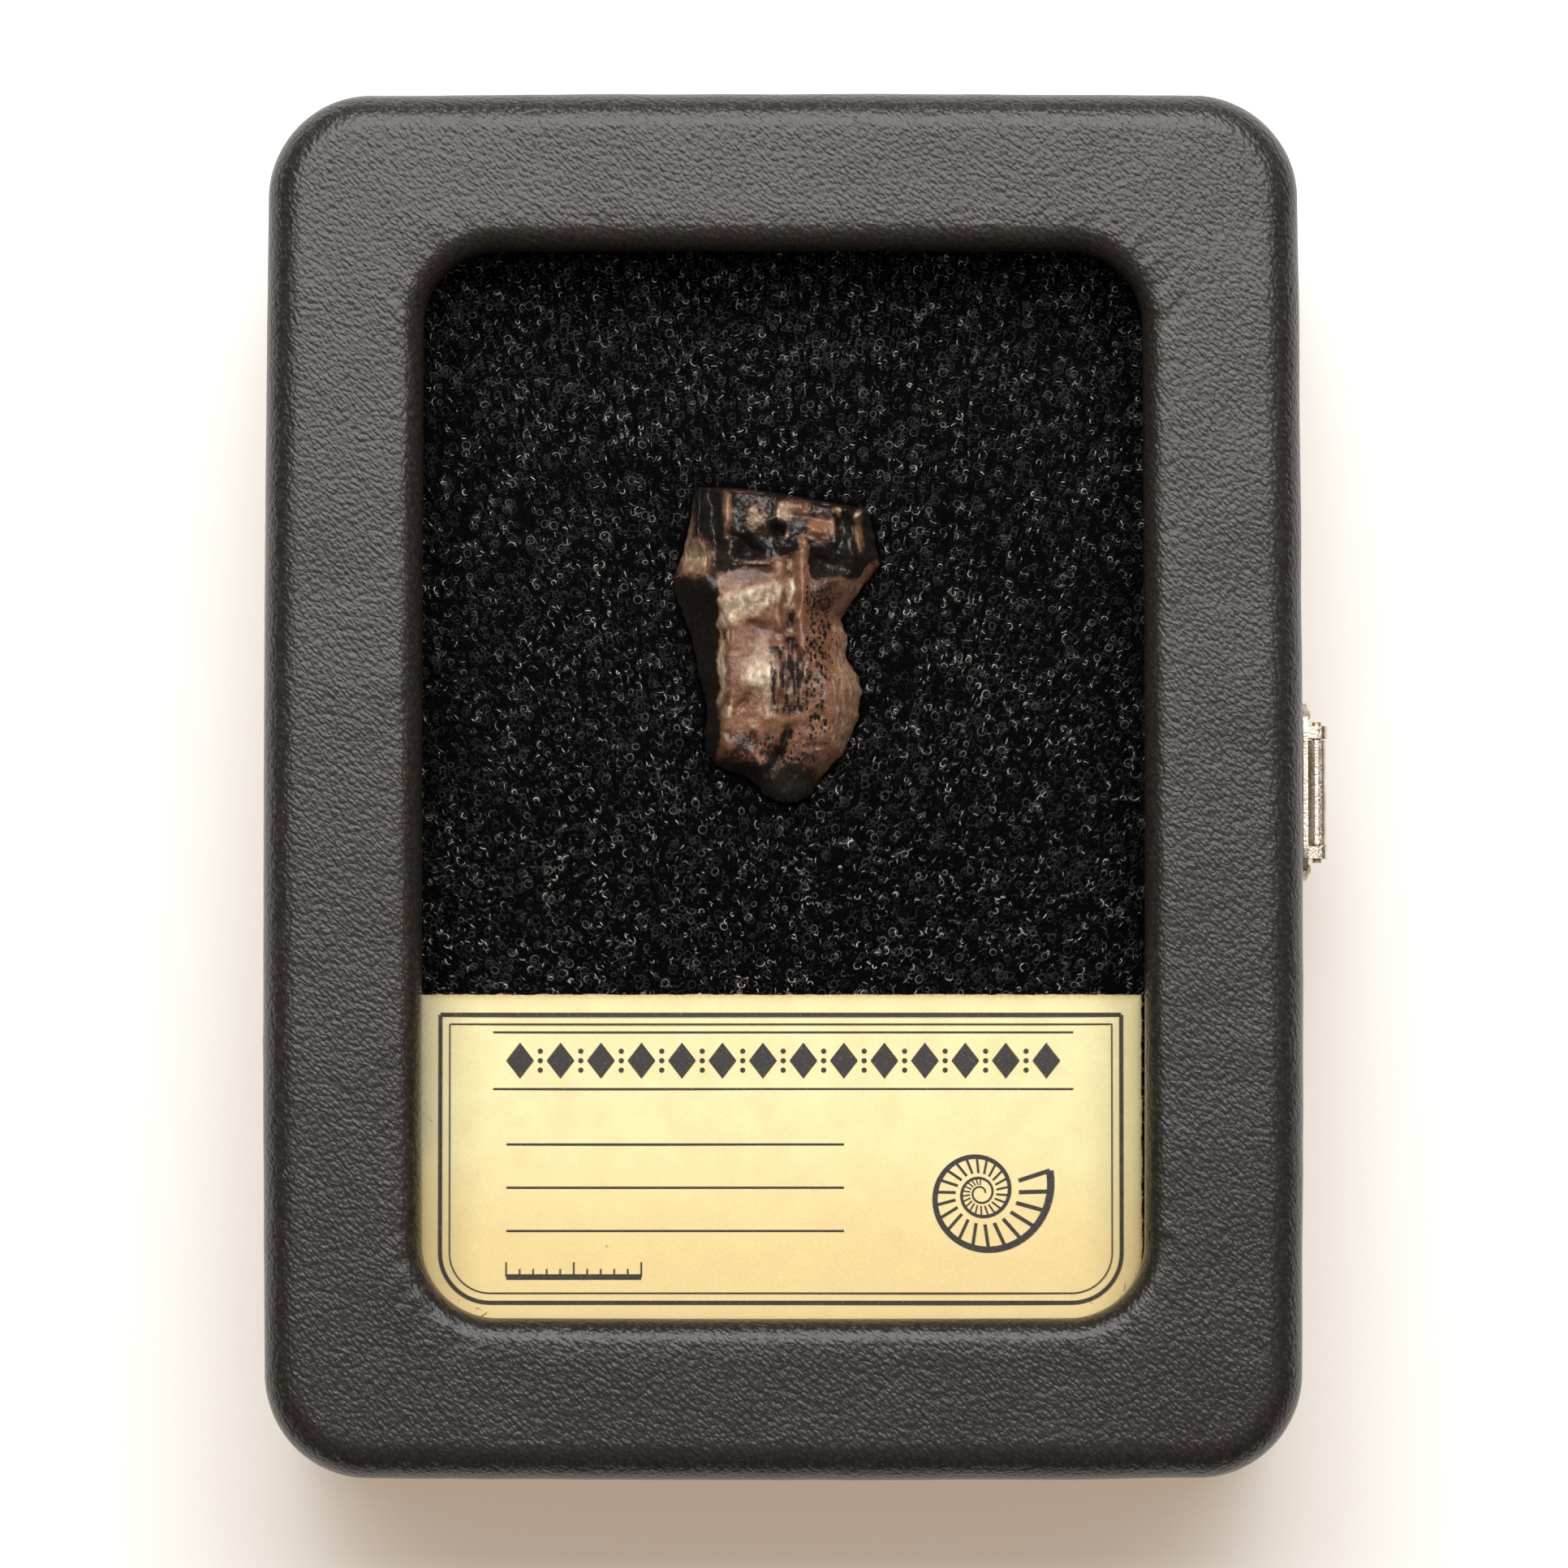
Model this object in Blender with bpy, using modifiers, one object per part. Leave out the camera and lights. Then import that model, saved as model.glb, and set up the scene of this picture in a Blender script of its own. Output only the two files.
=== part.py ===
"""Fossil triceratops tooth lying in foam in a small hinged display case with a window in its lid.

The case lies flat: +Z is up, +X is the latch side, -X is the hinge side, and +Y is the end
away from the label card. The origin is the middle of the underside. Lengths are in metres.
"""

import math

import bmesh
import bpy
import numpy as np
from mathutils import Matrix, Vector

MM = 0.001

# Case
CASE_HALF_X = 38.1 * MM
CASE_HALF_Y = 50.9 * MM
CASE_CORNER = 7.5 * MM
CASE_HEIGHT = 28.0 * MM
SEAM_Z = 17.0 * MM
SEAM_GAP = 0.3 * MM
SEAM_ROUND = 1.0 * MM
WALL = 3.0 * MM
FLOOR = 2.5 * MM
FOOT_ROUND = 1.5 * MM

# Lid and window
LID_ROUND = 4.0 * MM
CEILING_Z = 25.3 * MM
WINDOW_HALF_X = 27.1 * MM
WINDOW_HALF_Y = 40.35 * MM
WINDOW_CORNER = 5.7 * MM
WINDOW_SHIFT_Y = 0.3 * MM
WINDOW_ROLL = 1.2 * MM
FIT = 0.3 * MM
PANE_THICK = 1.2 * MM
PANE_GAP = 0.1 * MM
PANE_BORDER = 3.4 * MM
PANE_CORNER = 1.5 * MM
LINER_THICK = 1.2 * MM
LINER_LIP = 0.5 * MM

# Foam and card
FOAM_TOP = 18.0 * MM
CARD_THICK = 0.4 * MM
CARD_GAP = 0.15 * MM
CARD_LEFT = -26.9 * MM
CARD_RIGHT = 26.55 * MM
CARD_LOW = -39.6 * MM
CARD_HIGH = -15.3 * MM
CARD_CORNER = 5.2 * MM

# Hinge
HINGE_X = -37.8 * MM
HINGE_HALF = 20.0 * MM
KNUCKLES = 5
KNUCKLE_RADIUS = 0.9 * MM
KNUCKLE_BORE = 0.58 * MM
KNUCKLE_GAP = 0.3 * MM
HINGE_PIN_RADIUS = 0.4 * MM
LEAF_THICK = 0.45 * MM
LEAF_NEAR = 1.2 * MM
LEAF_FAR = 2.5 * MM
TAB_MARGIN = 0.04 * MM
HINGE_GROOVE = 1.2 * MM
REBATE_DEPTH = 0.75 * MM
TACK_RADIUS = 0.22 * MM
TACK_HOLE = 0.4 * MM
TACK_LENGTH = 2.6 * MM
TACK_Y = 8.0 * MM

# Latch
LATCH_Y = -0.4 * MM
LATCH_PIN_X = 39.5 * MM
LATCH_PIN_Z = 20.2 * MM
LATCH_PIN_RADIUS = 0.35 * MM
LATCH_BORE = 0.5 * MM
LATCH_ROLL = 0.7 * MM
FLAP_HALF = 3.85 * MM
FLAP_THICK = 0.4 * MM
FLAP_LOW = 11.4 * MM
FLAP_CURL = 0.9 * MM
EAR_GAP = 0.15 * MM
EAR_THICK = 0.9 * MM
EAR_RADIUS = 0.8 * MM
PLATE_X = 38.3 * MM
PLATE_THICK = 0.35 * MM
PLATE_BITE_X = PLATE_X + PLATE_THICK / 3
LATCH_PLATE_HALF = 6.55 * MM
LATCH_PLATE_LOW = 18.3 * MM
LATCH_PLATE_HIGH = 23.3 * MM
CATCH_HALF = 4.6 * MM
CATCH_LOW = 10.6 * MM
CATCH_HIGH = 15.6 * MM
BEAD_X = 38.5 * MM
BEAD_Z = 14.3 * MM
BEAD_RADIUS = 0.8 * MM
BEAD_HALF = 2.6 * MM
HOOK_X = 39.8 * MM
HOOK_Z = 13.0 * MM
HOOK_RADIUS = 0.65 * MM
NAIL_HEAD = 0.5 * MM
NAIL_SHANK = 0.22 * MM
NAIL_LENGTH = 2.4 * MM
NAIL_HOLE = 0.4 * MM
NAIL_DOME = 0.28 * MM
NAIL_LIFT = 0.1 * MM
LATCH_NAIL_Y = 5.75 * MM
CATCH_NAIL_Y = 3.7 * MM
CATCH_NAIL_Z = 11.9 * MM

# Tooth
TOOTH_RIM_Z = FOAM_TOP + 0.5 * MM
TOOTH_ROWS = 44
TOOTH_COLUMNS = 28
TOOTH_LEAST = 0.6
POCKET_ROWS = 20
POCKET_COLUMNS = 12
POCKET_CLEARANCE = 0.5 * MM
POCKET_RISE = 2.0 * MM

# The tooth's two side edges in millimetres, as (distance along, place across), crown to tip
LEFT_EDGE = (
    (22.43, -6.50), (20.33, -6.89), (18.41, -7.19), (16.68, -7.66), (15.72, -8.17), (14.40, -7.93),
    (12.84, -7.45), (11.17, -6.77), (8.47, -6.29), (5.60, -5.57), (4.10, -5.81), (2.93, -5.81),
    (2.05, -5.33), (1.50, -4.60), (1.15, -3.50), (0.80, -2.55), (0.15, -1.92), (-0.39, -1.44),
    (-1.05, -0.25),
)
RIGHT_EDGE = (
    (22.43, 6.20), (22.10, 6.45), (20.30, 6.71), (17.75, 7.08), (16.70, 7.10), (15.70, 6.40),
    (13.74, 4.97), (12.49, 4.29), (11.20, 4.73), (9.70, 4.66), (8.20, 5.63), (7.20, 5.81),
    (5.06, 5.51), (2.54, 4.37), (0.63, 2.67), (-0.39, 2.10), (-1.05, 0.95),
)
CROWN_SLANT = 1.56
CROWN_SLANT_FROM = 15.5


def clear_scene():
    for old in list(bpy.data.objects):
        bpy.data.objects.remove(old, do_unlink=True)


def new_collection(name):
    collection = bpy.data.collections.new(name)
    bpy.context.scene.collection.children.link(collection)
    return collection


def new_material(name, colour, roughness, metallic=0.0, alpha=1.0):
    material = bpy.data.materials.new(name)
    material.use_nodes = True
    shader = material.node_tree.nodes["Principled BSDF"]
    shader.inputs["Base Color"].default_value = (*colour, 1.0)
    shader.inputs["Roughness"].default_value = roughness
    shader.inputs["Metallic"].default_value = metallic
    shader.inputs["Alpha"].default_value = alpha
    return material


clear_scene()
CASE = new_collection("triceratops_tooth_case")
CUTTERS = new_collection("cutters")
LEATHERETTE = new_material("leatherette", (0.060, 0.052, 0.048), 0.50)
FOAM = new_material("black foam", (0.008, 0.007, 0.006), 0.85)
FOSSIL = new_material("fossil enamel", (0.230, 0.110, 0.065), 0.42)
CARD = new_material("cream card", (0.960, 0.830, 0.480), 0.90)
GLASS = new_material("window glass", (0.95, 0.97, 0.96), 0.03, alpha=0.25)
LINER = new_material("black liner", (0.015, 0.014, 0.013), 0.60)
METAL = new_material("nickel plate", (0.720, 0.660, 0.570), 0.30, metallic=1.0)


def place(name, mesh, material, matrix=None):
    piece = bpy.data.objects.new(name, mesh)
    CASE.objects.link(piece)
    piece.matrix_world = matrix or Matrix.Identity(4)
    if material:
        mesh.materials.clear()
        mesh.materials.append(material)
    return piece


def as_cutter(piece):
    piece.hide_render = True
    piece.display_type = "WIRE"
    for old in list(piece.users_collection):
        old.objects.unlink(piece)
    CUTTERS.objects.link(piece)
    return piece


def combine(piece, other, operation):
    """Adds a live Boolean of the other object, which becomes a hidden cutter."""
    modifier = piece.modifiers.new(f"{operation.lower()} {other.name}", "BOOLEAN")
    modifier.operation = operation
    modifier.solver = "EXACT"
    modifier.object = as_cutter(other)


def cut(piece, cutter):
    combine(piece, cutter, "DIFFERENCE")


def join(piece, other):
    combine(piece, other, "UNION")


def rounded_rectangle(half_x, half_y, radii, steps=6, centre=(0.0, 0.0)):
    """Points of a rectangle with round corners, anticlockwise from the +X +Y corner."""
    if not isinstance(radii, tuple):
        radii = (radii,) * 4
    points = []
    for corner, (side_x, side_y) in enumerate(((1, 1), (-1, 1), (-1, -1), (1, -1))):
        radius = radii[corner]
        middle_x = centre[0] + side_x * (half_x - radius)
        middle_y = centre[1] + side_y * (half_y - radius)
        for step in range(steps + 1 if radius else 1):
            angle = math.pi / 2 * (corner + step / steps)
            points.append((middle_x + radius * math.cos(angle), middle_y + radius * math.sin(angle)))
    return points


def arc(centre, radius, start, end, steps):
    """Points on a circle from one angle to another, in degrees."""
    angles = [math.radians(start + (end - start) * step / steps) for step in range(steps + 1)]
    return [(centre[0] + radius * math.cos(a), centre[1] + radius * math.sin(a)) for a in angles]


def circle(centre, radius, steps=16):
    return arc(centre, radius, 0, 360, steps)[:-1]


def extruded(name, outlines, thickness, matrix, material):
    """A flat curve of one or more closed outlines, filled, thickened and made a mesh."""
    curve = bpy.data.curves.new(name, "CURVE")
    curve.dimensions = "2D"
    curve.fill_mode = "BOTH"
    curve.extrude = thickness / 2
    for outline in outlines:
        spline = curve.splines.new("POLY")
        spline.points.add(len(outline) - 1)
        for point, (x, y) in zip(spline.points, outline):
            point.co = (x, y, 0.0, 1.0)
        spline.use_cyclic_u = True
    drawn = bpy.data.objects.new(name + " outline", curve)
    CASE.objects.link(drawn)
    drawn.matrix_world = matrix
    bpy.context.view_layer.update()
    graph = bpy.context.evaluated_depsgraph_get()
    mesh = bpy.data.meshes.new_from_object(drawn.evaluated_get(graph))
    mesh.name = name
    weld(mesh)
    piece = place(name, mesh, material, drawn.matrix_world.copy())
    bpy.data.objects.remove(drawn, do_unlink=True)
    return piece


def weld(mesh, distance=0.001 * MM):
    solid = bmesh.new()
    solid.from_mesh(mesh)
    bmesh.ops.remove_doubles(solid, verts=solid.verts, dist=distance)
    bmesh.ops.recalc_face_normals(solid, faces=solid.faces)
    solid.to_mesh(mesh)
    solid.free()


def rounded_box(name, half_x, half_y, low, high, corner, material, foot=0.0, brim=0.0):
    """A box whose upright edges, foot edge and brim edge are rounded."""
    solid = bmesh.new()
    bmesh.ops.create_cube(solid, size=1.0)
    size = Matrix.Diagonal((2 * half_x, 2 * half_y, high - low, 1.0))
    middle = Matrix.Translation((0, 0, (low + high) / 2))
    bmesh.ops.transform(solid, matrix=middle @ size, verts=solid.verts)
    upright = [e for e in solid.edges if abs(e.verts[0].co.z - e.verts[1].co.z) > MM]
    bmesh.ops.bevel(solid, geom=upright, offset=corner, segments=6, profile=0.5, affect="EDGES")
    for level, width in ((low, foot), (high, brim)):
        if width:
            edges = [e for e in solid.edges if all(abs(v.co.z - level) < 0.01 * MM for v in e.verts)]
            bmesh.ops.bevel(solid, geom=edges, offset=width, segments=3, profile=0.5, affect="EDGES")
    mesh = bpy.data.meshes.new(name)
    solid.to_mesh(mesh)
    solid.free()
    return place(name, mesh, material)


def cylinder(name, radius, start, end, material, sides=16):
    """A plain cylinder between two points."""
    start, end = Vector(start), Vector(end)
    solid = bmesh.new()
    length = (end - start).length
    bmesh.ops.create_cone(
        solid, cap_ends=True, segments=sides, radius1=radius, radius2=radius, depth=length)
    mesh = bpy.data.meshes.new(name)
    solid.to_mesh(mesh)
    solid.free()
    turn = (end - start).to_track_quat("Z", "Y").to_matrix().to_4x4()
    return place(name, mesh, material, Matrix.Translation((start + end) / 2) @ turn)


def sheets_to_mesh(name, upper, lower, walled):
    """Closes two grids of points over the same plan: by a wall, or by welding their rims."""
    rows, columns = upper.shape[:2]
    points = np.concatenate([upper.reshape(-1, 3), lower.reshape(-1, 3)])
    index = np.arange(rows * columns).reshape(rows, columns)
    corners = (index[:-1, :-1], index[1:, :-1], index[1:, 1:], index[:-1, 1:])
    top = np.stack(corners, axis=-1).reshape(-1, 4)
    bottom = top[:, ::-1] + rows * columns
    faces = np.concatenate([top, bottom]).tolist()
    rim = list(index[0, :-1]) + list(index[:-1, -1]) + list(index[-1, :0:-1]) + list(index[:0:-1, 0])
    if walled:
        below = rows * columns
        for here, there in zip(rim, rim[1:] + rim[:1]):
            faces.append((int(here), int(there), int(there) + below, int(here) + below))
    mesh = bpy.data.meshes.new(name)
    mesh.from_pydata(points.tolist(), [], faces)
    weld(mesh)
    return mesh


# The tray: a box with round edges, hollowed from above
def build_tray():
    rim = SEAM_Z - SEAM_GAP / 2
    tray = rounded_box("tray", CASE_HALF_X, CASE_HALF_Y, 0.0, rim, CASE_CORNER, LEATHERETTE,
                       foot=FOOT_ROUND, brim=SEAM_ROUND)
    cut(tray, rounded_box("tray hollow", CASE_HALF_X - WALL, CASE_HALF_Y - WALL, FLOOR,
                          CASE_HEIGHT, CASE_CORNER - WALL, None))
    return tray


# The lid's outer corners and its window's corners have unlike radii, so the frame is a loft of
# rounded rectangles: up the outside, over the padded top, down into the window, and back inside.
def build_lid_frame():
    rim = SEAM_Z + SEAM_GAP / 2
    rings = []
    for angle in (0, 45, 90):
        inset = SEAM_ROUND * (1 - math.sin(math.radians(angle)))
        rings.append(outer_ring(inset, rim + SEAM_ROUND * (1 - math.cos(math.radians(angle)))))
    for angle in (0, 22.5, 45, 67.5, 90):
        inset = LID_ROUND * (1 - math.cos(math.radians(angle)))
        rings.append(outer_ring(inset, CASE_HEIGHT - LID_ROUND * (1 - math.sin(math.radians(angle)))))
    for angle in (0, 30, 60, 90):
        outset = WINDOW_ROLL * (1 - math.sin(math.radians(angle)))
        rings.append(window_ring(outset, CASE_HEIGHT - WINDOW_ROLL * (1 - math.cos(math.radians(angle)))))
    rings.append(window_ring(0.0, CEILING_Z))
    rings.append(outer_ring(WALL, CEILING_Z))
    rings.append(outer_ring(WALL, rim))
    points = [point for ring in rings for point in ring]
    count = len(rings[0])
    faces = []
    for ring in range(len(rings)):
        for step in range(count):
            here, there = ring * count, (ring + 1) % len(rings) * count
            after = (step + 1) % count
            faces.append((here + step, here + after, there + after, there + step))
    mesh = bpy.data.meshes.new("lid_frame")
    mesh.from_pydata(points, [], faces)
    weld(mesh)
    return place("lid_frame", mesh, LEATHERETTE)


def outer_ring(inset, height):
    flat = rounded_rectangle(CASE_HALF_X - inset, CASE_HALF_Y - inset, CASE_CORNER - inset)
    return [(x, y, height) for x, y in flat]


def window_ring(outset, height):
    flat = rounded_rectangle(WINDOW_HALF_X + outset, WINDOW_HALF_Y + outset, WINDOW_CORNER + outset,
                             centre=(0.0, WINDOW_SHIFT_Y))
    return [(x, y, height) for x, y in flat]


# The pane rests under the frame's ceiling, and the liner holds it there
def build_window_pane():
    outline = rounded_rectangle(WINDOW_HALF_X + PANE_BORDER, WINDOW_HALF_Y + PANE_BORDER,
                                PANE_CORNER, steps=3)
    middle = CEILING_Z - PANE_GAP - PANE_THICK / 2
    return extruded("window_pane", [outline], PANE_THICK, Matrix.Translation((0, 0, middle)), GLASS)


def build_lid_liner():
    outer = rounded_rectangle(CASE_HALF_X - WALL - FIT, CASE_HALF_Y - WALL - FIT, CASE_CORNER - WALL)
    inner = rounded_rectangle(WINDOW_HALF_X - LINER_LIP, WINDOW_HALF_Y - LINER_LIP, WINDOW_CORNER,
                              centre=(0.0, WINDOW_SHIFT_Y))
    middle = CEILING_Z - 2 * PANE_GAP - PANE_THICK - LINER_THICK / 2
    return extruded("lid_liner", [outer, inner], LINER_THICK, Matrix.Translation((0, 0, middle)), LINER)


# The foam fills the tray a little past its rim, with a pocket for the tooth
def build_foam_pad():
    outline = rounded_rectangle(CASE_HALF_X - WALL - FIT, CASE_HALF_Y - WALL - FIT, CASE_CORNER - WALL)
    low = FLOOR + FIT
    middle = Matrix.Translation((0, 0, (low + FOAM_TOP) / 2))
    foam = extruded("foam_pad", [outline], FOAM_TOP - low, middle, FOAM)
    cut(foam, build_pocket_cutter())
    return foam


def build_label_card():
    half_x = (CARD_RIGHT - CARD_LEFT) / 2
    half_y = (CARD_HIGH - CARD_LOW) / 2
    centre = ((CARD_RIGHT + CARD_LEFT) / 2, (CARD_HIGH + CARD_LOW) / 2)
    outline = rounded_rectangle(half_x, half_y, (0, 0, CARD_CORNER, CARD_CORNER), centre=centre)
    middle = FOAM_TOP + CARD_GAP + CARD_THICK / 2
    return extruded("label_card", [outline], CARD_THICK, Matrix.Translation((0, 0, middle)), CARD)


def smooth(low, high, value):
    """0 below low, 1 above high, with a smooth step between; low may be the larger."""
    part = np.clip((value - low) / (high - low), 0.0, 1.0)
    return part * part * (3.0 - 2.0 * part)


def bump(x, y, centre, reach_x, reach_y, height):
    """A smooth mound, or a hollow where the height is negative."""
    return height * np.exp(-((x - centre[0]) / reach_x) ** 2 - ((y - centre[1]) / reach_y) ** 2)


def ridge(x, y, start, end, width, height):
    """A smooth ridge along a straight line, or a groove where the height is negative."""
    run_x, run_y = end[0] - start[0], end[1] - start[1]
    part = ((x - start[0]) * run_x + (y - start[1]) * run_y) / (run_x**2 + run_y**2)
    part = np.clip(part, 0.0, 1.0)
    away = (x - start[0] - part * run_x) ** 2 + (y - start[1] - part * run_y) ** 2
    return height * np.exp(-away / width**2)


def tooth_plan(rows, columns):
    """The grid seen from above, in millimetres: rows run crown to tip, columns left to right."""
    along = 0.5 - 0.5 * np.cos(np.linspace(0.0, math.pi, rows))
    along = 0.35 * along + 0.65 * np.linspace(0.0, 1.0, rows)
    top, tip = LEFT_EDGE[0][0], LEFT_EDGE[-1][0]
    level = top + (tip - top) * along
    left = np.interp(-level, [-y for y, _ in LEFT_EDGE], [x for _, x in LEFT_EDGE])
    right = np.interp(-level, [-y for y, _ in RIGHT_EDGE], [x for _, x in RIGHT_EDGE])
    across = 0.5 - 0.5 * np.cos(np.linspace(0.0, math.pi, columns))
    across = 0.4 * across + 0.6 * np.linspace(0.0, 1.0, columns)
    x = left[:, None] + (right - left)[:, None] * across[None, :]
    level = np.repeat(level[:, None], columns, axis=1)
    # The crown was broken off aslant, so its top drops towards the right
    slant = CROWN_SLANT * smooth(-5.0, 9.5, x) / smooth(-5.0, 9.5, 6.2)
    y = level - slant * smooth(CROWN_SLANT_FROM, top, level)
    return x, y, level


def rim_distance(x, y):
    """Each point's distance to the grid's own rim."""
    rim_x = np.concatenate([x[0, :-1], x[:-1, -1], x[-1, :0:-1], x[:0:-1, 0]])
    rim_y = np.concatenate([y[0, :-1], y[:-1, -1], y[-1, :0:-1], y[:0:-1, 0]])
    run_x, run_y = np.roll(rim_x, -1) - rim_x, np.roll(rim_y, -1) - rim_y
    near = np.full(x.shape, np.inf)
    for x0, y0, dx, dy in zip(rim_x, rim_y, run_x, run_y):
        length = dx * dx + dy * dy
        if length > 0.0:
            part = np.clip(((x - x0) * dx + (y - y0) * dy) / length, 0.0, 1.0)
            near = np.minimum(near, np.hypot(x - x0 - part * dx, y - y0 - part * dy))
    return near


def lesser(first, second, blend=0.3):
    """The lesser of two heights, rounded where they cross."""
    return -blend * np.logaddexp(-first / blend, -second / blend)


def tooth_relief(x, y):
    """Height of the front above the rim in millimetres, before its sides fall away."""
    bend = np.where(y > 12.0, 0.0115, 0.0185)
    height = 4.3 - bend * (y - 12.0) ** 2
    height -= 0.9 * smooth(1.6, 5.6, x) * smooth(15.0, 12.5, y)
    # Collar: a rib along the left edge, swelling into a lobe, with a trough beside it
    height += ridge(x, y, (-6.7, 21.6), (-7.0, 18.2), 0.6, 0.6)
    height += bump(x, y, (-6.5, 16.7), 1.0, 1.2, 1.1)
    height += ridge(x, y, (-5.5, 22.0), (-5.1, 16.6), 0.75, -1.8)
    # Collar: pitted rib, crystal patches, holes and crest between them
    height += ridge(x, y, (-4.1, 21.7), (-4.1, 19.2), 0.6, 0.5)
    height += bump(x, y, (-1.9, 19.8), 1.1, 1.3, 0.5)
    height += bump(x, y, (-2.6, 17.6), 1.2, 0.9, -1.3)
    height += ridge(x, y, (-3.6, 16.6), (-1.1, 16.5), 0.5, 0.4)
    height += bump(x, y, (0.2, 20.3), 0.7, 1.0, 0.6)
    height += bump(x, y, (-0.25, 19.0), 0.6, 0.6, -0.9)
    height += bump(x, y, (2.6, 19.2), 1.1, 1.5, 0.6)
    height += bump(x, y, (4.3, 19.5), 0.75, 1.5, -1.3)
    height += ridge(x, y, (5.6, 20.6), (5.7, 17.6), 0.6, 0.5)
    height += bump(x, y, (3.6, 16.4), 1.9, 1.1, -1.6)
    height += ridge(x, y, (4.0, 14.6), (6.1, 15.2), 0.55, 0.35)
    # Enamel face: raised shoulder, edge rib, shallow bowl and swelling
    height += ridge(x, y, (-4.6, 13.8), (-0.1, 14.6), 0.9, 0.45)
    height += ridge(x, y, (-4.4, 11.0), (-4.3, 5.2), 0.6, 0.25)
    height += bump(x, y, (-1.6, 10.7), 1.7, 1.5, -0.45)
    height += bump(x, y, (-1.9, 7.8), 1.3, 1.0, 0.35)
    # The groove down the middle, the smooth rib beside it and the fibrous knot below
    height += ridge(x, y, (0.55, 17.0), (0.55, 10.2), 0.55, -0.9)
    height += ridge(x, y, (1.5, 17.6), (1.5, 10.2), 0.6, 0.4)
    height += bump(x, y, (0.6, 7.8), 1.1, 2.2, 0.3)
    height += bump(x, y, (1.25, 6.5), 0.7, 0.9, 0.4)
    # Right lobe, the cleft beside the tip and the worn tip itself
    height += bump(x, y, (4.0, 6.3), 1.6, 3.0, 0.5)
    height += ridge(x, y, (0.3, 3.8), (-1.0, 0.8), 0.7, -1.0)
    height += bump(x, y, (-3.4, 2.9), 1.6, 1.2, 0.3)
    height -= 0.5 * smooth(2.4, 0.2, y) * smooth(-2.0, -0.5, x)
    return -lesser(-height, np.full(height.shape, -TOOTH_LEAST))


def tooth_sheets(rows, columns):
    """The front and the back as two grids of points in metres over one plan."""
    x, y, level = tooth_plan(rows, columns)
    near = rim_distance(x, y)
    left = smooth(0.5, -2.5, x)
    crown = smooth(20.4, 21.9, level)
    tip = smooth(2.0, 0.0, y)
    steep = 2.2 + left * np.interp(y, [4.0, 12.0, 17.0, 19.0], [0.2, -0.8, -0.2, 2.6])
    steep = (steep + (4.6 - steep) * crown) * (1.0 - 0.45 * tip)
    bend = 0.72 + 0.26 * left * smooth(18.0, 15.5, y)
    front = lesser(tooth_relief(x, y), steep * near**bend)
    back = -lesser(3.7 - 0.012 * (y - 11.0) ** 2, 2.6 * near**0.7)
    for height in (front, back):
        height[near < 1e-6] = 0.0
    plan = (x * MM, y * MM)
    upper = np.stack([*plan, TOOTH_RIM_Z + front * MM], axis=-1)
    lower = np.stack([*plan, TOOTH_RIM_Z + back * MM], axis=-1)
    return upper, lower


# The tooth is one closed shape: a front and a back over one outline, welded along their rim
def build_tooth():
    upper, lower = tooth_sheets(TOOTH_ROWS, TOOTH_COLUMNS)
    mesh = sheets_to_mesh("triceratops_tooth", upper, lower, walled=False)
    return place("triceratops_tooth", mesh, FOSSIL)


# The pocket is the tooth's back on a coarser grid, a little larger all round
def build_pocket_cutter():
    upper, lower = tooth_sheets(POCKET_ROWS, POCKET_COLUMNS)
    low, high = lower.min(axis=(0, 1)), lower.max(axis=(0, 1))
    for axis in (0, 1):
        centre = (low[axis] + high[axis]) / 2
        grow = 1 + 2 * POCKET_CLEARANCE / (high[axis] - low[axis])
        for sheet in (upper, lower):
            sheet[..., axis] = centre + (sheet[..., axis] - centre) * grow
    upper[..., 2] = FOAM_TOP + POCKET_RISE
    lower[..., 2] = np.minimum(lower[..., 2] - POCKET_CLEARANCE, FOAM_TOP - POCKET_CLEARANCE)
    return place("tooth pocket", sheets_to_mesh("tooth pocket", upper, lower, walled=True), None)


ALONG_Y = Matrix(((1, 0, 0, 0), (0, 0, -1, 0), (0, 1, 0, 0), (0, 0, 0, 1)))
FACING_X = Matrix(((0, 0, 1, 0), (1, 0, 0, 0), (0, 1, 0, 0), (0, 0, 0, 1)))


# A butt hinge let into the two rims: each leaf is a strip with knuckles that take turns
def build_hinge_leaf(name, side, knuckles):
    near, far = SEAM_GAP / 2, SEAM_GAP / 2 + LEAF_THICK
    strip = [(LEAF_NEAR, near), (LEAF_FAR, near), (LEAF_FAR, far), (LEAF_NEAR, far)]
    low, high = near + TAB_MARGIN, far - TAB_MARGIN
    barrel = arc((0, 0), KNUCKLE_RADIUS, math.degrees(math.asin(high / KNUCKLE_RADIUS)),
                 360 + math.degrees(math.asin(low / KNUCKLE_RADIUS)), 14)
    knuckle = barrel + [(LEAF_NEAR + FIT, low), (LEAF_NEAR + FIT, high)]
    strip, knuckle = ([(x, side * z) for x, z in outline] for outline in (strip, knuckle))
    middle = Matrix.Translation((HINGE_X, 0, SEAM_Z))
    leaf = extruded(name, [strip], 2 * HINGE_HALF, middle @ ALONG_Y, METAL)
    pitch = 2 * HINGE_HALF / KNUCKLES
    for number in knuckles:
        middle = Matrix.Translation((HINGE_X, pitch * (number + 0.5) - HINGE_HALF, SEAM_Z))
        bore = circle((0, 0), KNUCKLE_BORE)
        join(leaf, extruded(f"{name} knuckle {number}", [knuckle, bore], pitch - KNUCKLE_GAP,
                            middle @ ALONG_Y, None))
    return leaf


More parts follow.
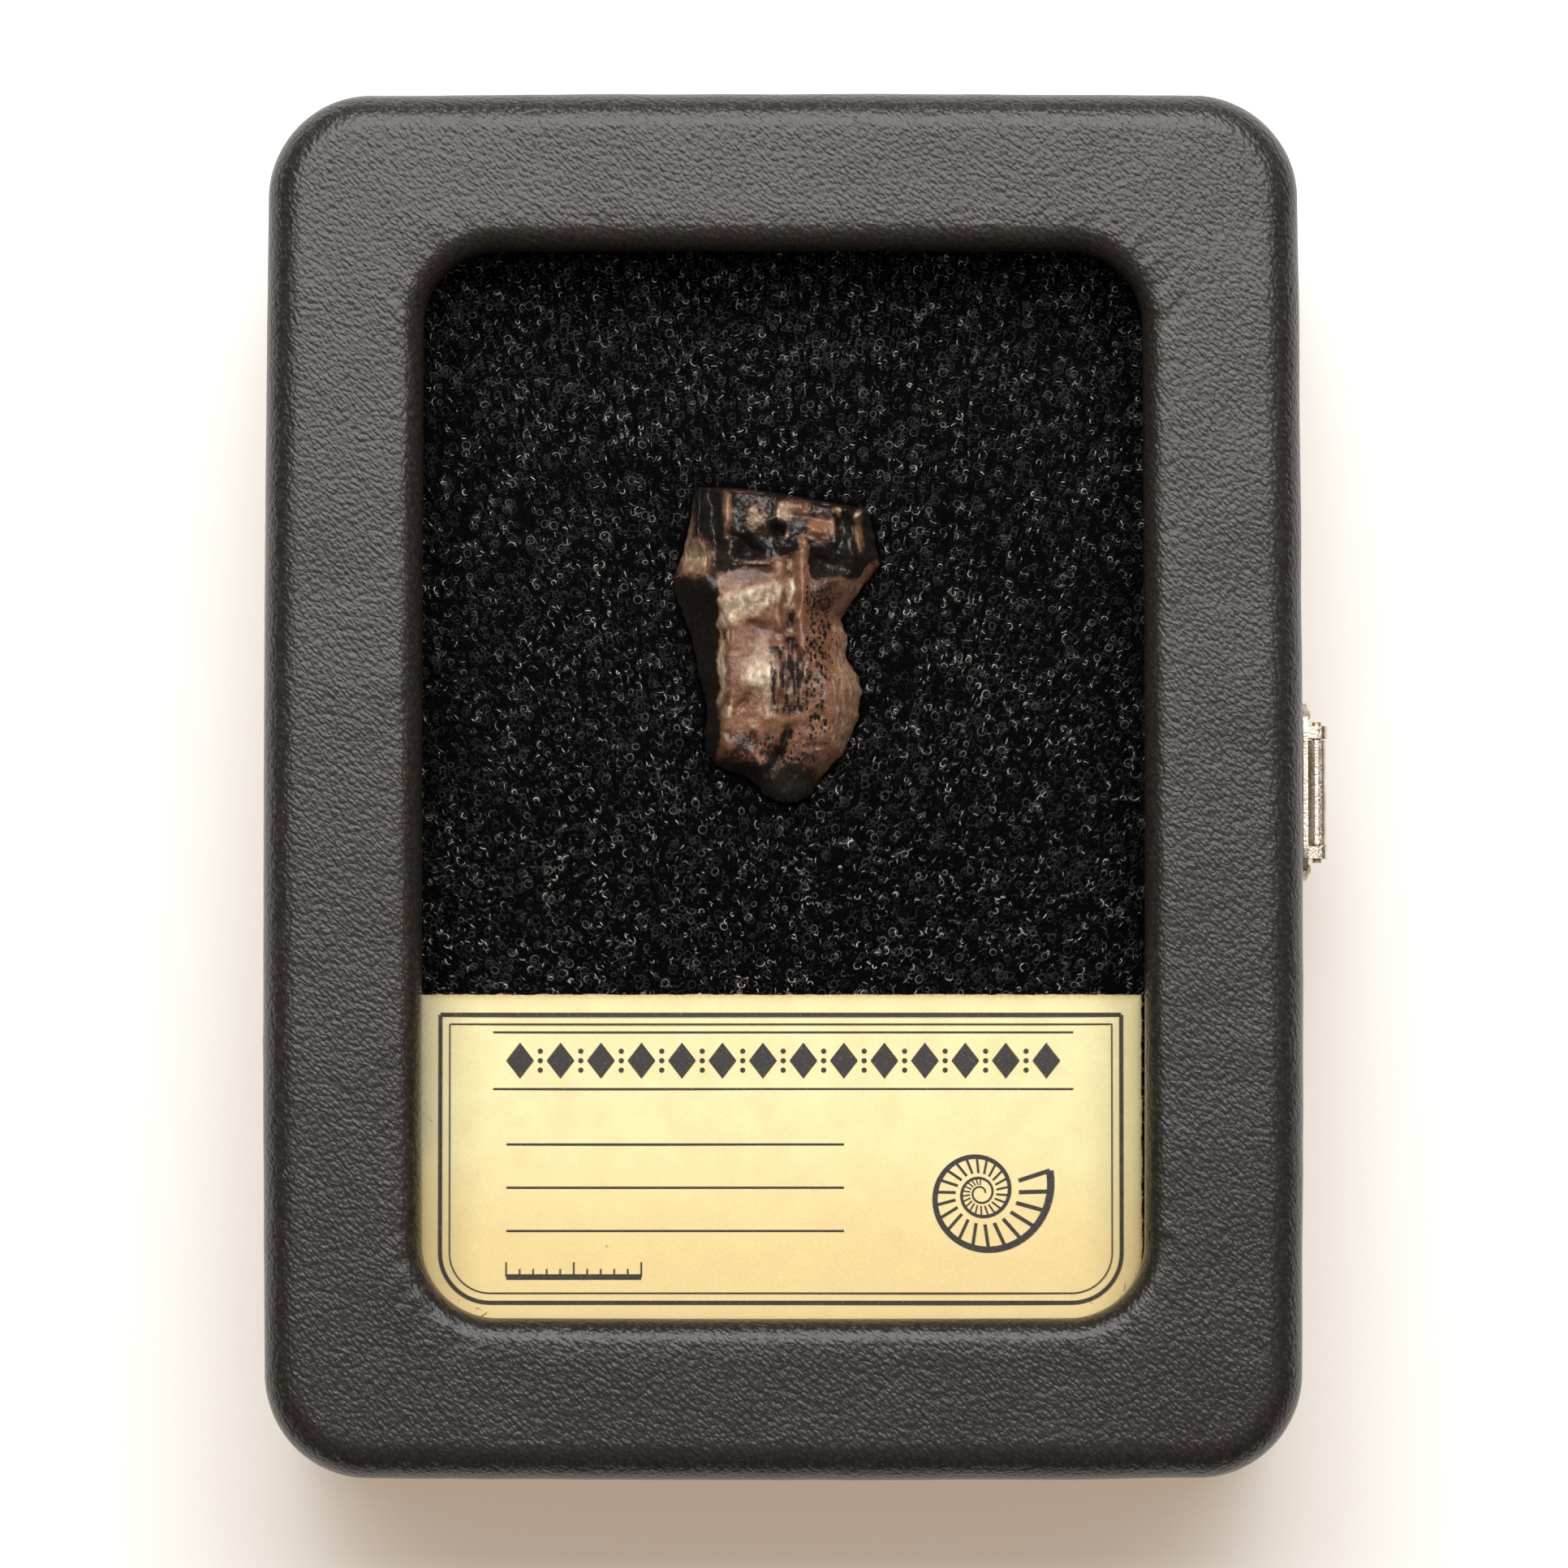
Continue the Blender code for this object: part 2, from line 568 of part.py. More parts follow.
def build_hinge(tray, lid_frame):
    tray_leaf = build_hinge_leaf("hinge_leaf_tray", -1, range(0, KNUCKLES, 2))
    lid_leaf = build_hinge_leaf("hinge_leaf_lid", 1, range(1, KNUCKLES, 2))
    pin = cylinder("hinge_pin", HINGE_PIN_RADIUS, (HINGE_X, -HINGE_HALF, SEAM_Z),
                   (HINGE_X, HINGE_HALF, SEAM_Z), METAL)
    tacks = {"tray": [], "lid": []}
    reach = HINGE_HALF + FIT
    for name, side, rim_piece, leaf in (("tray", -1, tray, tray_leaf), ("lid", 1, lid_frame, lid_leaf)):
        rebate_far = SEAM_Z + side * (SEAM_GAP / 2 + REBATE_DEPTH)
        rebate = rounded_box(f"{name} rebate", WALL, reach, min(SEAM_Z, rebate_far),
                             max(SEAM_Z, rebate_far), 0.0, None)
        rebate.location.x = HINGE_X + WALL / 2
        cut(rim_piece, rebate)
        cut(rim_piece, cylinder(f"{name} groove", HINGE_GROOVE, (HINGE_X, -reach, SEAM_Z),
                                (HINGE_X, reach, SEAM_Z), None))
        tack_x = HINGE_X + (LEAF_NEAR + LEAF_FAR) / 2
        head_z = SEAM_Z + side * SEAM_GAP / 2
        for number, tack_y in enumerate((-TACK_Y, TACK_Y), 1):
            foot = (tack_x, tack_y, head_z + side * TACK_LENGTH)
            hole = cylinder(f"{name} tack hole {number}", TACK_HOLE, (tack_x, tack_y, SEAM_Z),
                            (tack_x, tack_y, head_z + side * (TACK_LENGTH + FIT)), None, sides=10)
            cut(leaf, hole)
            cut(rim_piece, hole)
            tacks[name].append(cylinder(f"hinge_tack_{name}_{number}", TACK_RADIUS,
                                        (tack_x, tack_y, head_z), foot, METAL, sides=10))
    return [tray_leaf, pin] + tacks["tray"], [lid_leaf] + tacks["lid"]


def build_nail(name, y, z):
    """A small domed nail driven in towards -X: a turned profile."""
    head = PLATE_X + PLATE_THICK + NAIL_LIFT
    profile = [(0.0, NAIL_DOME), (0.6 * NAIL_HEAD, 0.75 * NAIL_DOME), (NAIL_HEAD, 0.0),
               (NAIL_SHANK, 0.0), (NAIL_SHANK, -NAIL_LENGTH), (0.0, -NAIL_LENGTH - NAIL_SHANK)]
    edges = [(step, step + 1) for step in range(len(profile) - 1)]
    mesh = bpy.data.meshes.new(name)
    mesh.from_pydata([(x, 0.0, height) for x, height in profile], edges, [])
    nail = place(name, mesh, METAL, Matrix.Translation((head, y, z)) @ FACING_X)
    turn = nail.modifiers.new("turn", "SCREW")
    turn.steps = turn.render_steps = 12
    turn.use_merge_vertices = True
    turn.merge_threshold = 0.001 * MM
    return nail


def drill_for_nail(name, y, z, *pieces):
    head = PLATE_X + PLATE_THICK + NAIL_LIFT
    deep, outside = (head - NAIL_LENGTH - 2 * FIT, y, z), (head + FIT, y, z)
    hole = cylinder(name, NAIL_HOLE, deep, outside, None, sides=12)
    for piece in pieces:
        cut(piece, hole)


# The latch: a plate with two ears on the lid, a pin through them, and a rolled flap on the pin
def build_latch(lid_frame):
    middle_z = (LATCH_PLATE_LOW + LATCH_PLATE_HIGH) / 2
    half_z = (LATCH_PLATE_HIGH - LATCH_PLATE_LOW) / 2
    outline = rounded_rectangle(LATCH_PLATE_HALF, half_z, half_z - FIT)
    middle = Matrix.Translation((PLATE_X + PLATE_THICK / 2, LATCH_Y, middle_z))
    plate = extruded("latch_plate", [outline], PLATE_THICK, middle @ FACING_X, METAL)
    ear = arc((LATCH_PIN_X, LATCH_PIN_Z), EAR_RADIUS, -90, 90, 8)
    ear += [(PLATE_BITE_X, LATCH_PIN_Z + EAR_RADIUS), (PLATE_BITE_X, LATCH_PIN_Z - EAR_RADIUS)]
    for number, side in enumerate((-1, 1), 1):
        at = Matrix.Translation((0, LATCH_Y + side * (FLAP_HALF + EAR_GAP + EAR_THICK / 2), 0))
        bore = circle((LATCH_PIN_X, LATCH_PIN_Z), LATCH_BORE)
        join(plate, extruded(f"ear {number}", [ear, bore], EAR_THICK, at @ ALONG_Y, None))
    reach = FLAP_HALF + EAR_GAP + EAR_THICK + EAR_GAP * 2
    pin = cylinder("latch_pin", LATCH_PIN_RADIUS, (LATCH_PIN_X, LATCH_Y - reach, LATCH_PIN_Z),
                   (LATCH_PIN_X, LATCH_Y + reach, LATCH_PIN_Z), METAL)
    nails = []
    for number, side in enumerate((-1, 1), 1):
        y = LATCH_Y + side * LATCH_NAIL_Y
        drill_for_nail(f"latch nail hole {number}", y, middle_z, plate, lid_frame)
        nails.append(build_nail(f"latch_nail_{number}", y, middle_z))
    return [plate, pin] + nails


def build_latch_flap():
    outer_x, inner_x = LATCH_PIN_X + LATCH_ROLL, LATCH_PIN_X + LATCH_ROLL - FLAP_THICK
    meet = 360 - math.degrees(math.acos((inner_x - LATCH_PIN_X) / LATCH_ROLL))
    outline = arc((LATCH_PIN_X, LATCH_PIN_Z), LATCH_ROLL, meet, 0, 14)
    curl = (outer_x + FLAP_CURL, FLAP_LOW + FLAP_CURL)
    outline += arc(curl, FLAP_CURL, 180, 250, 4)
    outline += arc(curl, FLAP_CURL + FLAP_THICK, 250, 190, 4)
    outline += arc((HOOK_X, HOOK_Z), HOOK_RADIUS, 270, 90, 8)
    bore = circle((LATCH_PIN_X, LATCH_PIN_Z), LATCH_BORE)
    return extruded("latch_flap", [outline, bore], 2 * FLAP_HALF,
                    Matrix.Translation((0, LATCH_Y, 0)) @ ALONG_Y, METAL)


def build_catch(tray):
    middle_z = (CATCH_LOW + CATCH_HIGH) / 2
    half_z = (CATCH_HIGH - CATCH_LOW) / 2
    outline = rounded_rectangle(CATCH_HALF, half_z, half_z / 2)
    middle = Matrix.Translation((PLATE_X + PLATE_THICK / 2, LATCH_Y, middle_z))
    plate = extruded("catch_plate", [outline], PLATE_THICK, middle @ FACING_X, METAL)
    bead = arc((BEAD_X, BEAD_Z), BEAD_RADIUS, -90, 90, 8)
    bead += [(PLATE_BITE_X, BEAD_Z + BEAD_RADIUS), (PLATE_BITE_X, BEAD_Z - BEAD_RADIUS)]
    across = Matrix.Translation((0, LATCH_Y, 0))
    join(plate, extruded("bead", [bead], 2 * BEAD_HALF, across @ ALONG_Y, None))
    nails = []
    for number, side in enumerate((-1, 1), 1):
        y = LATCH_Y + side * CATCH_NAIL_Y
        drill_for_nail(f"catch nail hole {number}", y, CATCH_NAIL_Z, plate, tray)
        nails.append(build_nail(f"catch_nail_{number}", y, CATCH_NAIL_Z))
    return [plate] + nails


def axis_empty(name, position, parent=None):
    """An empty on a joint's axis, which carries what turns about it."""
    empty = bpy.data.objects.new(name, None)
    empty.empty_display_size = 5 * MM
    CASE.objects.link(empty)
    empty.location = position
    bpy.context.view_layer.update()
    if parent:
        carry(parent, [empty])
    return empty


def carry(parent, pieces):
    bpy.context.view_layer.update()
    for piece in pieces:
        piece.parent = parent
        piece.matrix_parent_inverse = parent.matrix_world.inverted()


def shade_smooth(pieces):
    for piece in pieces:
        if piece.type == "MESH":
            piece.data.shade_smooth()
            if piece.name != "triceratops_tooth":
                piece.data.set_sharp_from_angle(angle=math.radians(35))


def build_case():
    tray = build_tray()
    lid_frame = build_lid_frame()
    tray_hinge, lid_hinge = build_hinge(tray, lid_frame)
    base = [tray, build_foam_pad(), build_tooth(), build_label_card()] + tray_hinge + build_catch(tray)
    lid = [lid_frame, build_window_pane(), build_lid_liner()] + lid_hinge + build_latch(lid_frame)
    flap = build_latch_flap()
    lid_axis = axis_empty("lid_hinge_axis", (HINGE_X, 0, SEAM_Z))
    carry(lid_axis, lid)
    carry(axis_empty("latch_hinge_axis", (LATCH_PIN_X, LATCH_Y, LATCH_PIN_Z), lid_axis), [flap])
    shade_smooth(base + lid + [flap])


build_case()
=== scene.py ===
import math

import bmesh
import bpy
import numpy as np
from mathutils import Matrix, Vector


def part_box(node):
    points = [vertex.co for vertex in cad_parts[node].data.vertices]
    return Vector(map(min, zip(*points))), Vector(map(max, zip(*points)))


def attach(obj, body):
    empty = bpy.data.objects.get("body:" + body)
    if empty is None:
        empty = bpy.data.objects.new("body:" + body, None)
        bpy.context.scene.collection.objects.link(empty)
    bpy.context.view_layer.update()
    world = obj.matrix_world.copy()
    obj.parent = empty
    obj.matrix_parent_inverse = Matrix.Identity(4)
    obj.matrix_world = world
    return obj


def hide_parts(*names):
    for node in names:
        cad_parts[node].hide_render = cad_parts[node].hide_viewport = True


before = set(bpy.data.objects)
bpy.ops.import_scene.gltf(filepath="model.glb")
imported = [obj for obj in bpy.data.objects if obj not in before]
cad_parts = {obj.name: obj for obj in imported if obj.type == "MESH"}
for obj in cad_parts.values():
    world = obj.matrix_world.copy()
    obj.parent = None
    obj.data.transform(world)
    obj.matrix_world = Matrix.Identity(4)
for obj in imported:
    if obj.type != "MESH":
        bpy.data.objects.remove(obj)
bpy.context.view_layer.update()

# Camera
# It looks down on the closed case from a little over half a metre, three degrees towards the card
# end, so what stands proud leans a little towards the far end of the picture.
MM = 0.001
CAMERA_AWAY = 550 * MM
CAMERA_LEAN = math.radians(3.0)
VIEW_WIDTH = 115.7 * MM
LOOK_AT = Vector((0.06, 0.15, 22.0)) * MM

towards_camera = Vector((0.0, -math.sin(CAMERA_LEAN), math.cos(CAMERA_LEAN)))
lens = bpy.data.cameras.new("camera")
lens.sensor_width = 36.0
lens.lens = lens.sensor_width * CAMERA_AWAY / VIEW_WIDTH
lens.clip_start = 10 * MM
camera = bpy.data.objects.new("camera", lens)
camera.location = LOOK_AT + CAMERA_AWAY * towards_camera
camera.rotation_euler = towards_camera.to_track_quat("Z", "Y").to_euler()
bpy.context.scene.collection.objects.link(camera)
bpy.context.scene.camera = camera

# Tray
# The lower half of the case: a board box covered in padded leatherette, which is glued on, turned
# over the rim and under the foot. The hinge is let into its left rim.
CASE_CORNER = 7.5 * MM
FOOT_ROUND = 1.5 * MM
SEAM_ROUND = 1.0 * MM
BOARD = 3.0 * MM
TRAY_FLOOR = 2.5 * MM
CORNER_STEPS, SHORT_STEPS, LONG_STEPS = 56, 190, 265
BOW_LONG, BOW_SHORT = 0.30 * MM, 0.20 * MM
HINGE_X, HINGE_Z = -37.8 * MM, 17.0 * MM
HINGE_REACH = 20.3 * MM
HINGE_GROOVE = 1.2 * MM
REBATE_DEPTH, REBATE_WIDTH = 0.9 * MM, 3.0 * MM
TRAY_PADDING = 0.06 * MM
BROAD_SWELL, FINE_SWELL = 7.0 * MM, 2.4 * MM
PEBBLE, WRINKLE, GRAIN_DEPTH = 0.34 * MM, 0.5 * MM, 0.064 * MM

_, case_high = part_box("tray")
CASE_HALF = np.array([case_high.x, case_high.y])
CASE_CORE = CASE_HALF - CASE_CORNER


def way_round(long_steps, short_steps, corner_steps):
    """The way round a box with round corners. Each row is the share of the half sizes at which the
    corner's middle lies, from -1 to 1 in x and y, and the angle at which the side faces."""
    ends = np.array([(1, 1), (-1, 1), (-1, -1), (1, -1)], float)
    rows = []
    for corner in range(4):
        turn = np.linspace(corner, corner + 1, corner_steps, endpoint=False) * math.pi / 2
        rows.append(np.column_stack([np.tile(ends[corner], (corner_steps, 1)), turn]))
        steps = (short_steps, long_steps)[corner % 2]
        part = np.linspace(0, 1, steps, endpoint=False)[:, None]
        between = ends[corner] * (1 - part) + ends[(corner + 1) % 4] * part
        rows.append(np.column_stack([between, np.full(steps, (corner + 1) * math.pi / 2)]))
    return np.concatenate(rows)


def carry_round(way, profile):
    """Carries a profile round the box. Each profile row is the corner middle's half sizes, the
    distance from it and the height; a point is that middle plus the distance along the outward angle."""
    middle = way[:, None, :2] * profile[None, :, :2]
    outward = np.stack([np.cos(way[:, 2]), np.sin(way[:, 2])], axis=-1)
    flat = middle + outward[:, None, :] * profile[None, :, 2, None]
    height = np.broadcast_to(profile[None, :, 3, None], flat.shape[:2] + (1,))
    return np.concatenate([flat, height], axis=-1)


def mottle(points, size, seed):
    """Smooth random values from -1 to 1: numbers hashed at the corners of a lattice of the given
    size, blended between the corners with a smooth step in each direction."""
    place = points / size
    cell = np.floor(place).astype(np.int64)
    part = place - cell
    part = part * part * (3 - 2 * part)
    primes = np.array([73856093, 19349663, 83492791])[: points.shape[-1]]
    total = np.zeros(points.shape[:-1])
    for corner in np.ndindex(*(2,) * points.shape[-1]):
        share = np.prod(np.where(corner, part, 1 - part), axis=-1)
        key = ((cell + corner) * primes).sum(axis=-1) + seed * 15485863
        key = (key ^ (key >> 13)) & 0x7FFFFFFF
        key = (key * 1274126177) & 0x7FFFFFFF
        key = ((key ^ (key >> 15)) * 60493) & 0x7FFFFFFF
        total += share * (key / 0x3FFFFFFF - 1)
    return total


def bow_sides(points):
    """Draws the ends of each side in a little: x shrinks with the square of y, and y with that of x."""
    bowed = points.copy()
    bowed[..., 0] *= 1 - BOW_LONG / CASE_HALF[0] * (points[..., 1] / CASE_HALF[1]) ** 2
    bowed[..., 1] *= 1 - BOW_SHORT / CASE_HALF[1] * (points[..., 0] / CASE_HALF[0]) ** 2
    return bowed


def let_in_hinge(points, side):
    """Moves the rim out of the hinge's way: level with the rebate's floor beside the axis, and no
    nearer to the axis than the groove's radius. The side is 1 above the seam and -1 below."""
    beside = points[..., 0] - HINGE_X
    above = side * (points[..., 2] - HINGE_Z)
    here = (abs(points[..., 1]) < HINGE_REACH) & (beside < REBATE_WIDTH)
    above = np.where(here & (above < REBATE_DEPTH), REBATE_DEPTH, above)
    apart = np.hypot(beside, above)
    push = np.where(here & (apart < HINGE_GROOVE), HINGE_GROOVE / np.maximum(apart, 1e-9), 1.0)
    moved = points.copy()
    moved[..., 0] = HINGE_X + beside * push
    moved[..., 2] = HINGE_Z + side * above * push
    return moved


def pad_out(points, shown, depth, seed):
    """Lets the padding swell and sink along the skin's normal, by mottling at two sizes."""
    along = np.roll(points, -1, axis=0) - np.roll(points, 1, axis=0)
    across = np.gradient(points, axis=1)
    normal = np.cross(along, across)
    normal /= np.maximum(np.linalg.norm(normal, axis=-1, keepdims=True), 1e-12)
    swell = 0.65 * mottle(points, BROAD_SWELL, seed) + 0.35 * mottle(points, FINE_SWELL, seed + 1)
    return points + normal * (depth * swell * shown)[..., None]


def lay_skin(name, points, closed_across=False):
    """Puts a grid of points that closes on itself along its first direction into a mesh of quads,
    merges the points that coincide and turns the faces outwards."""
    around, across = points.shape[:2]
    index = np.arange(around * across).reshape(around, across)
    after = np.roll(index, -1, axis=0)
    if closed_across:
        index = np.concatenate([index, index[:, :1]], axis=1)
        after = np.concatenate([after, after[:, :1]], axis=1)
    quads = np.stack([index[:, :-1], after[:, :-1], after[:, 1:], index[:, 1:]], axis=-1).reshape(-1, 4)
    return put_in_mesh(name, points.reshape(-1, 3), quads)


def new_piece(name, points, faces):
    """A new object at the origin whose mesh holds the points and the faces."""
    mesh = bpy.data.meshes.new(name)
    mesh.from_pydata(points.tolist(), [], faces)
    piece = bpy.data.objects.new(name, mesh)
    bpy.context.scene.collection.objects.link(piece)
    return piece


def put_in_mesh(name, points, faces):
    """A new piece with the points that coincide merged, smooth, and with its faces outwards."""
    piece = new_piece(name, points, faces.tolist())
    solid = bmesh.new()
    solid.from_mesh(piece.data)
    bmesh.ops.remove_doubles(solid, verts=solid.verts, dist=0.001 * MM)
    bmesh.ops.recalc_face_normals(solid, faces=solid.faces)
    solid.to_mesh(piece.data)
    solid.free()
    piece.data.shade_smooth()
    return piece


def new_finish(name, **values):
    """A new material and its shader, with plain values set on the shader's own sockets."""
    material = bpy.data.materials.new(name)
    material.use_nodes = True
    shader = material.node_tree.nodes["Principled BSDF"]
    for socket, value in values.items():
        shader.inputs[socket.replace("_", " ")].default_value = value
    return material, shader


def add(material, kind, inputs=None, **settings):
    """A node in the material: inputs are numbers, colours or the outputs of other nodes."""
    node = material.node_tree.nodes.new("ShaderNode" + kind)
    for setting, value in settings.items():
        setattr(node, setting, value)
    for socket, value in (inputs or {}).items():
        if isinstance(value, bpy.types.NodeSocket):
            material.node_tree.links.new(value, node.inputs[socket])
        else:
            node.inputs[socket].default_value = value
    return node


def ramp(material, factor, *stops):
    """A ramp between stops, each a place and a colour; a single number stands for a grey."""
    node = add(material, "ValToRGB", {"Fac": factor})
    points = node.color_ramp.elements
    while len(points) < len(stops):
        points.new(0.5)
    for point, (place, colour) in zip(points, stops):
        point.position = place
        point.color = (*colour, 1) if isinstance(colour, tuple) else (colour,) * 3 + (1,)
    return node.outputs["Color"]


def maths(material, operation, first, second=0.0, third=0.0):
    """One sum on numbers or outputs, such as MULTIPLY_ADD: first times second, plus third."""
    return add(material, "Math", {0: first, 1: second, 2: third}, operation=operation).outputs[0]


def noise(material, place, size, detail=2.0, roughness=0.5):
    """Noise with features of about the given size in metres."""
    inputs = {"Vector": place, "Scale": 1 / size, "Detail": detail, "Roughness": roughness}
    return add(material, "TexNoise", inputs).outputs["Fac"]


def cells(material, place, size, feature="F1"):
    """Random cells of about the given size in metres."""
    return add(material, "TexVoronoi", {"Vector": place, "Scale": 1 / size}, feature=feature)


def stretch(material, place, scale, degrees=0, kind="POINT"):
    """The place scaled and turned; with the kind TEXTURE it is the pattern that is."""
    inputs = {"Vector": place, "Rotation": (0, 0, math.radians(degrees)), "Scale": scale}
    return add(material, "Mapping", inputs, vector_type=kind).outputs[0]


def shift_place(material, place, size, reach):
    """Moves a place about by noise, so that a pattern read there looks drawn by hand."""
    wander = add(material, "TexNoise", {"Vector": place, "Scale": 1 / size, "Detail": 1.0}).outputs["Color"]
    centred = add(material, "VectorMath", {0: wander, 1: (0.5, 0.5, 0.5)}, operation="SUBTRACT")
    scaled = add(material, "VectorMath", {0: centred.outputs[0], "Scale": reach}, operation="SCALE")
    return add(material, "VectorMath", {0: place, 1: scaled.outputs[0]}).outputs[0]


def link(material, output, shader, socket):
    """Joins an output to one of the shader's sockets."""
    material.node_tree.links.new(output, shader.inputs[socket])


def raise_grain(material, shader, height, depth):
    """Bump from a height between 0 and 1, with its depth in metres."""
    bump = add(material, "Bump", {"Height": height, "Distance": depth, "Strength": 1.0})
    link(material, bump.outputs[0], shader, "Normal")


def object_place(material):
    """Where a point lies on its own object."""
    return add(material, "TexCoord").outputs["Object"]


def leatherette_finish():
    """Charcoal leatherette: pebbles of about a third of a millimetre, drawn out and broken by fine
    wrinkles that run aslant, lighter on the pebbles and darker in the furrows, which is painted shade."""
    material, shader = new_finish("charcoal leatherette", Roughness=0.31, Specular_IOR_Level=0.5)
    place = object_place(material)
    wandered = shift_place(material, place, 0.5 * MM, 0.3 * MM)
    drawn = stretch(material, wandered, (1.35, 0.85, 1.0), -50, "TEXTURE")
    pebble = cells(material, drawn, PEBBLE).outputs["Distance"]
    slanted = stretch(material, place, (2.4, 0.9, 1.2), -48, "TEXTURE")
    wrinkle = noise(material, slanted, WRINKLE, 3.0, 0.55)
    furrow = maths(material, "ABSOLUTE", maths(material, "SUBTRACT", wrinkle, 0.5))
    domes = maths(material, "MULTIPLY_ADD", pebble, -0.8, 0.8)
    raise_grain(material, shader, maths(material, "MULTIPLY_ADD", furrow, 1.5, domes), GRAIN_DEPTH)
    # Painted shade: the tone is lighter on the pebbles and darker in the furrows between them
    furrow_shaded_tone = ramp(material, pebble, (0.15, (0.034, 0.026, 0.021)), (0.62, (0.019, 0.0145, 0.012)))
    link(material, furrow_shaded_tone, shader, "Base Color")
    return material


def arc_rows(core, middle_radius, middle_height, radius, start, end, steps):
    """Profile rows on an arc: cosine outwards and sine upwards about a middle, angles in degrees."""
    angle = np.radians(np.linspace(start, end, steps))
    rows = np.empty((steps, 4))
    rows[:, :2] = core
    rows[:, 2] = middle_radius + radius * np.cos(angle)
    rows[:, 3] = middle_height + radius * np.sin(angle)
    return rows


def straight_rows(start, end, steps):
    """Profile rows on a straight line, without its two ends."""
    part = np.linspace(0, 1, steps + 2)[1:-1, None]
    return np.asarray(start) * (1 - part) + np.asarray(end) * part


def tray_profile():
    """The tray's cut shape from the middle of its underside, out round the foot, up the wall, over
    the rim, down inside and in to the middle of its floor."""
    foot = arc_rows(CASE_CORE, CASE_CORNER - FOOT_ROUND, FOOT_ROUND, FOOT_ROUND, -90, 0, 8)
    rim = arc_rows(CASE_CORE, CASE_CORNER - SEAM_ROUND, case_high.z - SEAM_ROUND, SEAM_ROUND, 0, 90, 8)
    inner = (*CASE_CORE, CASE_CORNER - BOARD)
    under = np.array([[0, 0, 0, 0], foot[0] * (0.35, 0.35, 0.35, 1), foot[0] * (0.8, 0.8, 0.8, 1)])
    inner_rim, inner_floor = (*inner, case_high.z), (*inner, TRAY_FLOOR)
    return np.concatenate([
        under, foot, straight_rows(foot[-1], rim[0], 34), rim, straight_rows(rim[-1], inner_rim, 3),
        [inner_rim], straight_rows(inner_rim, inner_floor, 4), [inner_floor, (0, 0, 0, TRAY_FLOOR)],
    ])


case_way = way_round(LONG_STEPS, SHORT_STEPS, CORNER_STEPS)
tray_rows = tray_profile()
tray_points = let_in_hinge(bow_sides(carry_round(case_way, tray_rows)), -1)
tray_wall = (tray_rows[:, 2] > CASE_CORNER - 0.2 * MM)[None, :] * np.ones((len(case_way), 1))
tray_leather = lay_skin("tray_leather", pad_out(tray_points, tray_wall, TRAY_PADDING, 11))
leatherette = leatherette_finish()
tray_leather.data.materials.append(leatherette)
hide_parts("tray")
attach(tray_leather, "base")

# Lid
# The upper half: a board frame padded on top and covered in the same leatherette, rolled over its
# outer edge and down into the window, and turned in under it where the pane lies.
LID_ROUND = 2.8 * MM
WINDOW_HALF = np.array([26.5, 39.2]) * MM
WINDOW_CORNER = 5.5 * MM
WINDOW_SHIFT = 0.05 * MM
WINDOW_ROLL = 1.8 * MM
SINK_FROM, SINK_DEPTH = 0.88, 0.12 * MM
PLEAT_DEPTH, PLEAT_WIDTH = 0.07 * MM, 0.7 * MM
LID_PADDING = 0.07 * MM
CEILING_Z = 25.3 * MM
SEAM_ROWS, WALL_ROWS, ROUND_ROWS, TOP_ROWS, ROLL_ROWS = 7, 14, 21, 24, 9
ROLL_START = SEAM_ROWS + WALL_ROWS + ROUND_ROWS + TOP_ROWS

lid_low, lid_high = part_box("lid_frame")
WINDOW_CORE = WINDOW_HALF - WINDOW_CORNER


def lid_profile():
    """The lid's cut shape, closed on itself: over the seam's round, up the wall, over the padded
    roll, across the top, down into the window, under it and back down inside."""
    seam = arc_rows(CASE_CORE, CASE_CORNER - SEAM_ROUND, lid_low.z + SEAM_ROUND, SEAM_ROUND, -90, 0,
                    SEAM_ROWS)
    top = arc_rows(CASE_CORE, CASE_CORNER - LID_ROUND, lid_high.z - LID_ROUND, LID_ROUND, 0, 90, ROUND_ROWS)
    # The leather sinks towards the window as a flattened circle does
    share = np.linspace(0, 1, TOP_ROWS + 2)[1:-1]
    sunk = SINK_DEPTH * (1 - np.sqrt(1 - 0.95 * np.clip((share - SINK_FROM) / (1 - SINK_FROM), 0, 1) ** 2))
    edge_z = lid_high.z - sunk[-1] - WINDOW_ROLL
    roll = arc_rows(WINDOW_CORE, WINDOW_CORNER + WINDOW_ROLL, edge_z, WINDOW_ROLL, 90, 180, ROLL_ROWS)
    across = straight_rows(top[-1], (*roll[0, :3], lid_high.z), TOP_ROWS)
    across[:, 3] -= sunk
    sill = (*WINDOW_CORE, WINDOW_CORNER, CEILING_Z)
    inner = (*CASE_CORE, CASE_CORNER - BOARD)
    ceiling, inner_rim = (*inner, CEILING_Z), (*inner, lid_low.z)
    return np.concatenate([
        seam, straight_rows(seam[-1], top[0], WALL_ROWS), top, across, roll,
        straight_rows(roll[-1], sill, 2), [sill, ceiling],
        straight_rows(ceiling, inner_rim, 3), [inner_rim],
    ])


lid_rows = lid_profile()
lid_points = carry_round(case_way, lid_rows)
# The window lies a hair towards the far end, so the rows that belong to it move with it
towards_window = (CASE_CORE[0] - lid_rows[:, 0]) / (CASE_CORE[0] - WINDOW_CORE[0])
lid_points[..., 1] += WINDOW_SHIFT * towards_window[None, :]
lid_points = let_in_hinge(bow_sides(lid_points), 1)
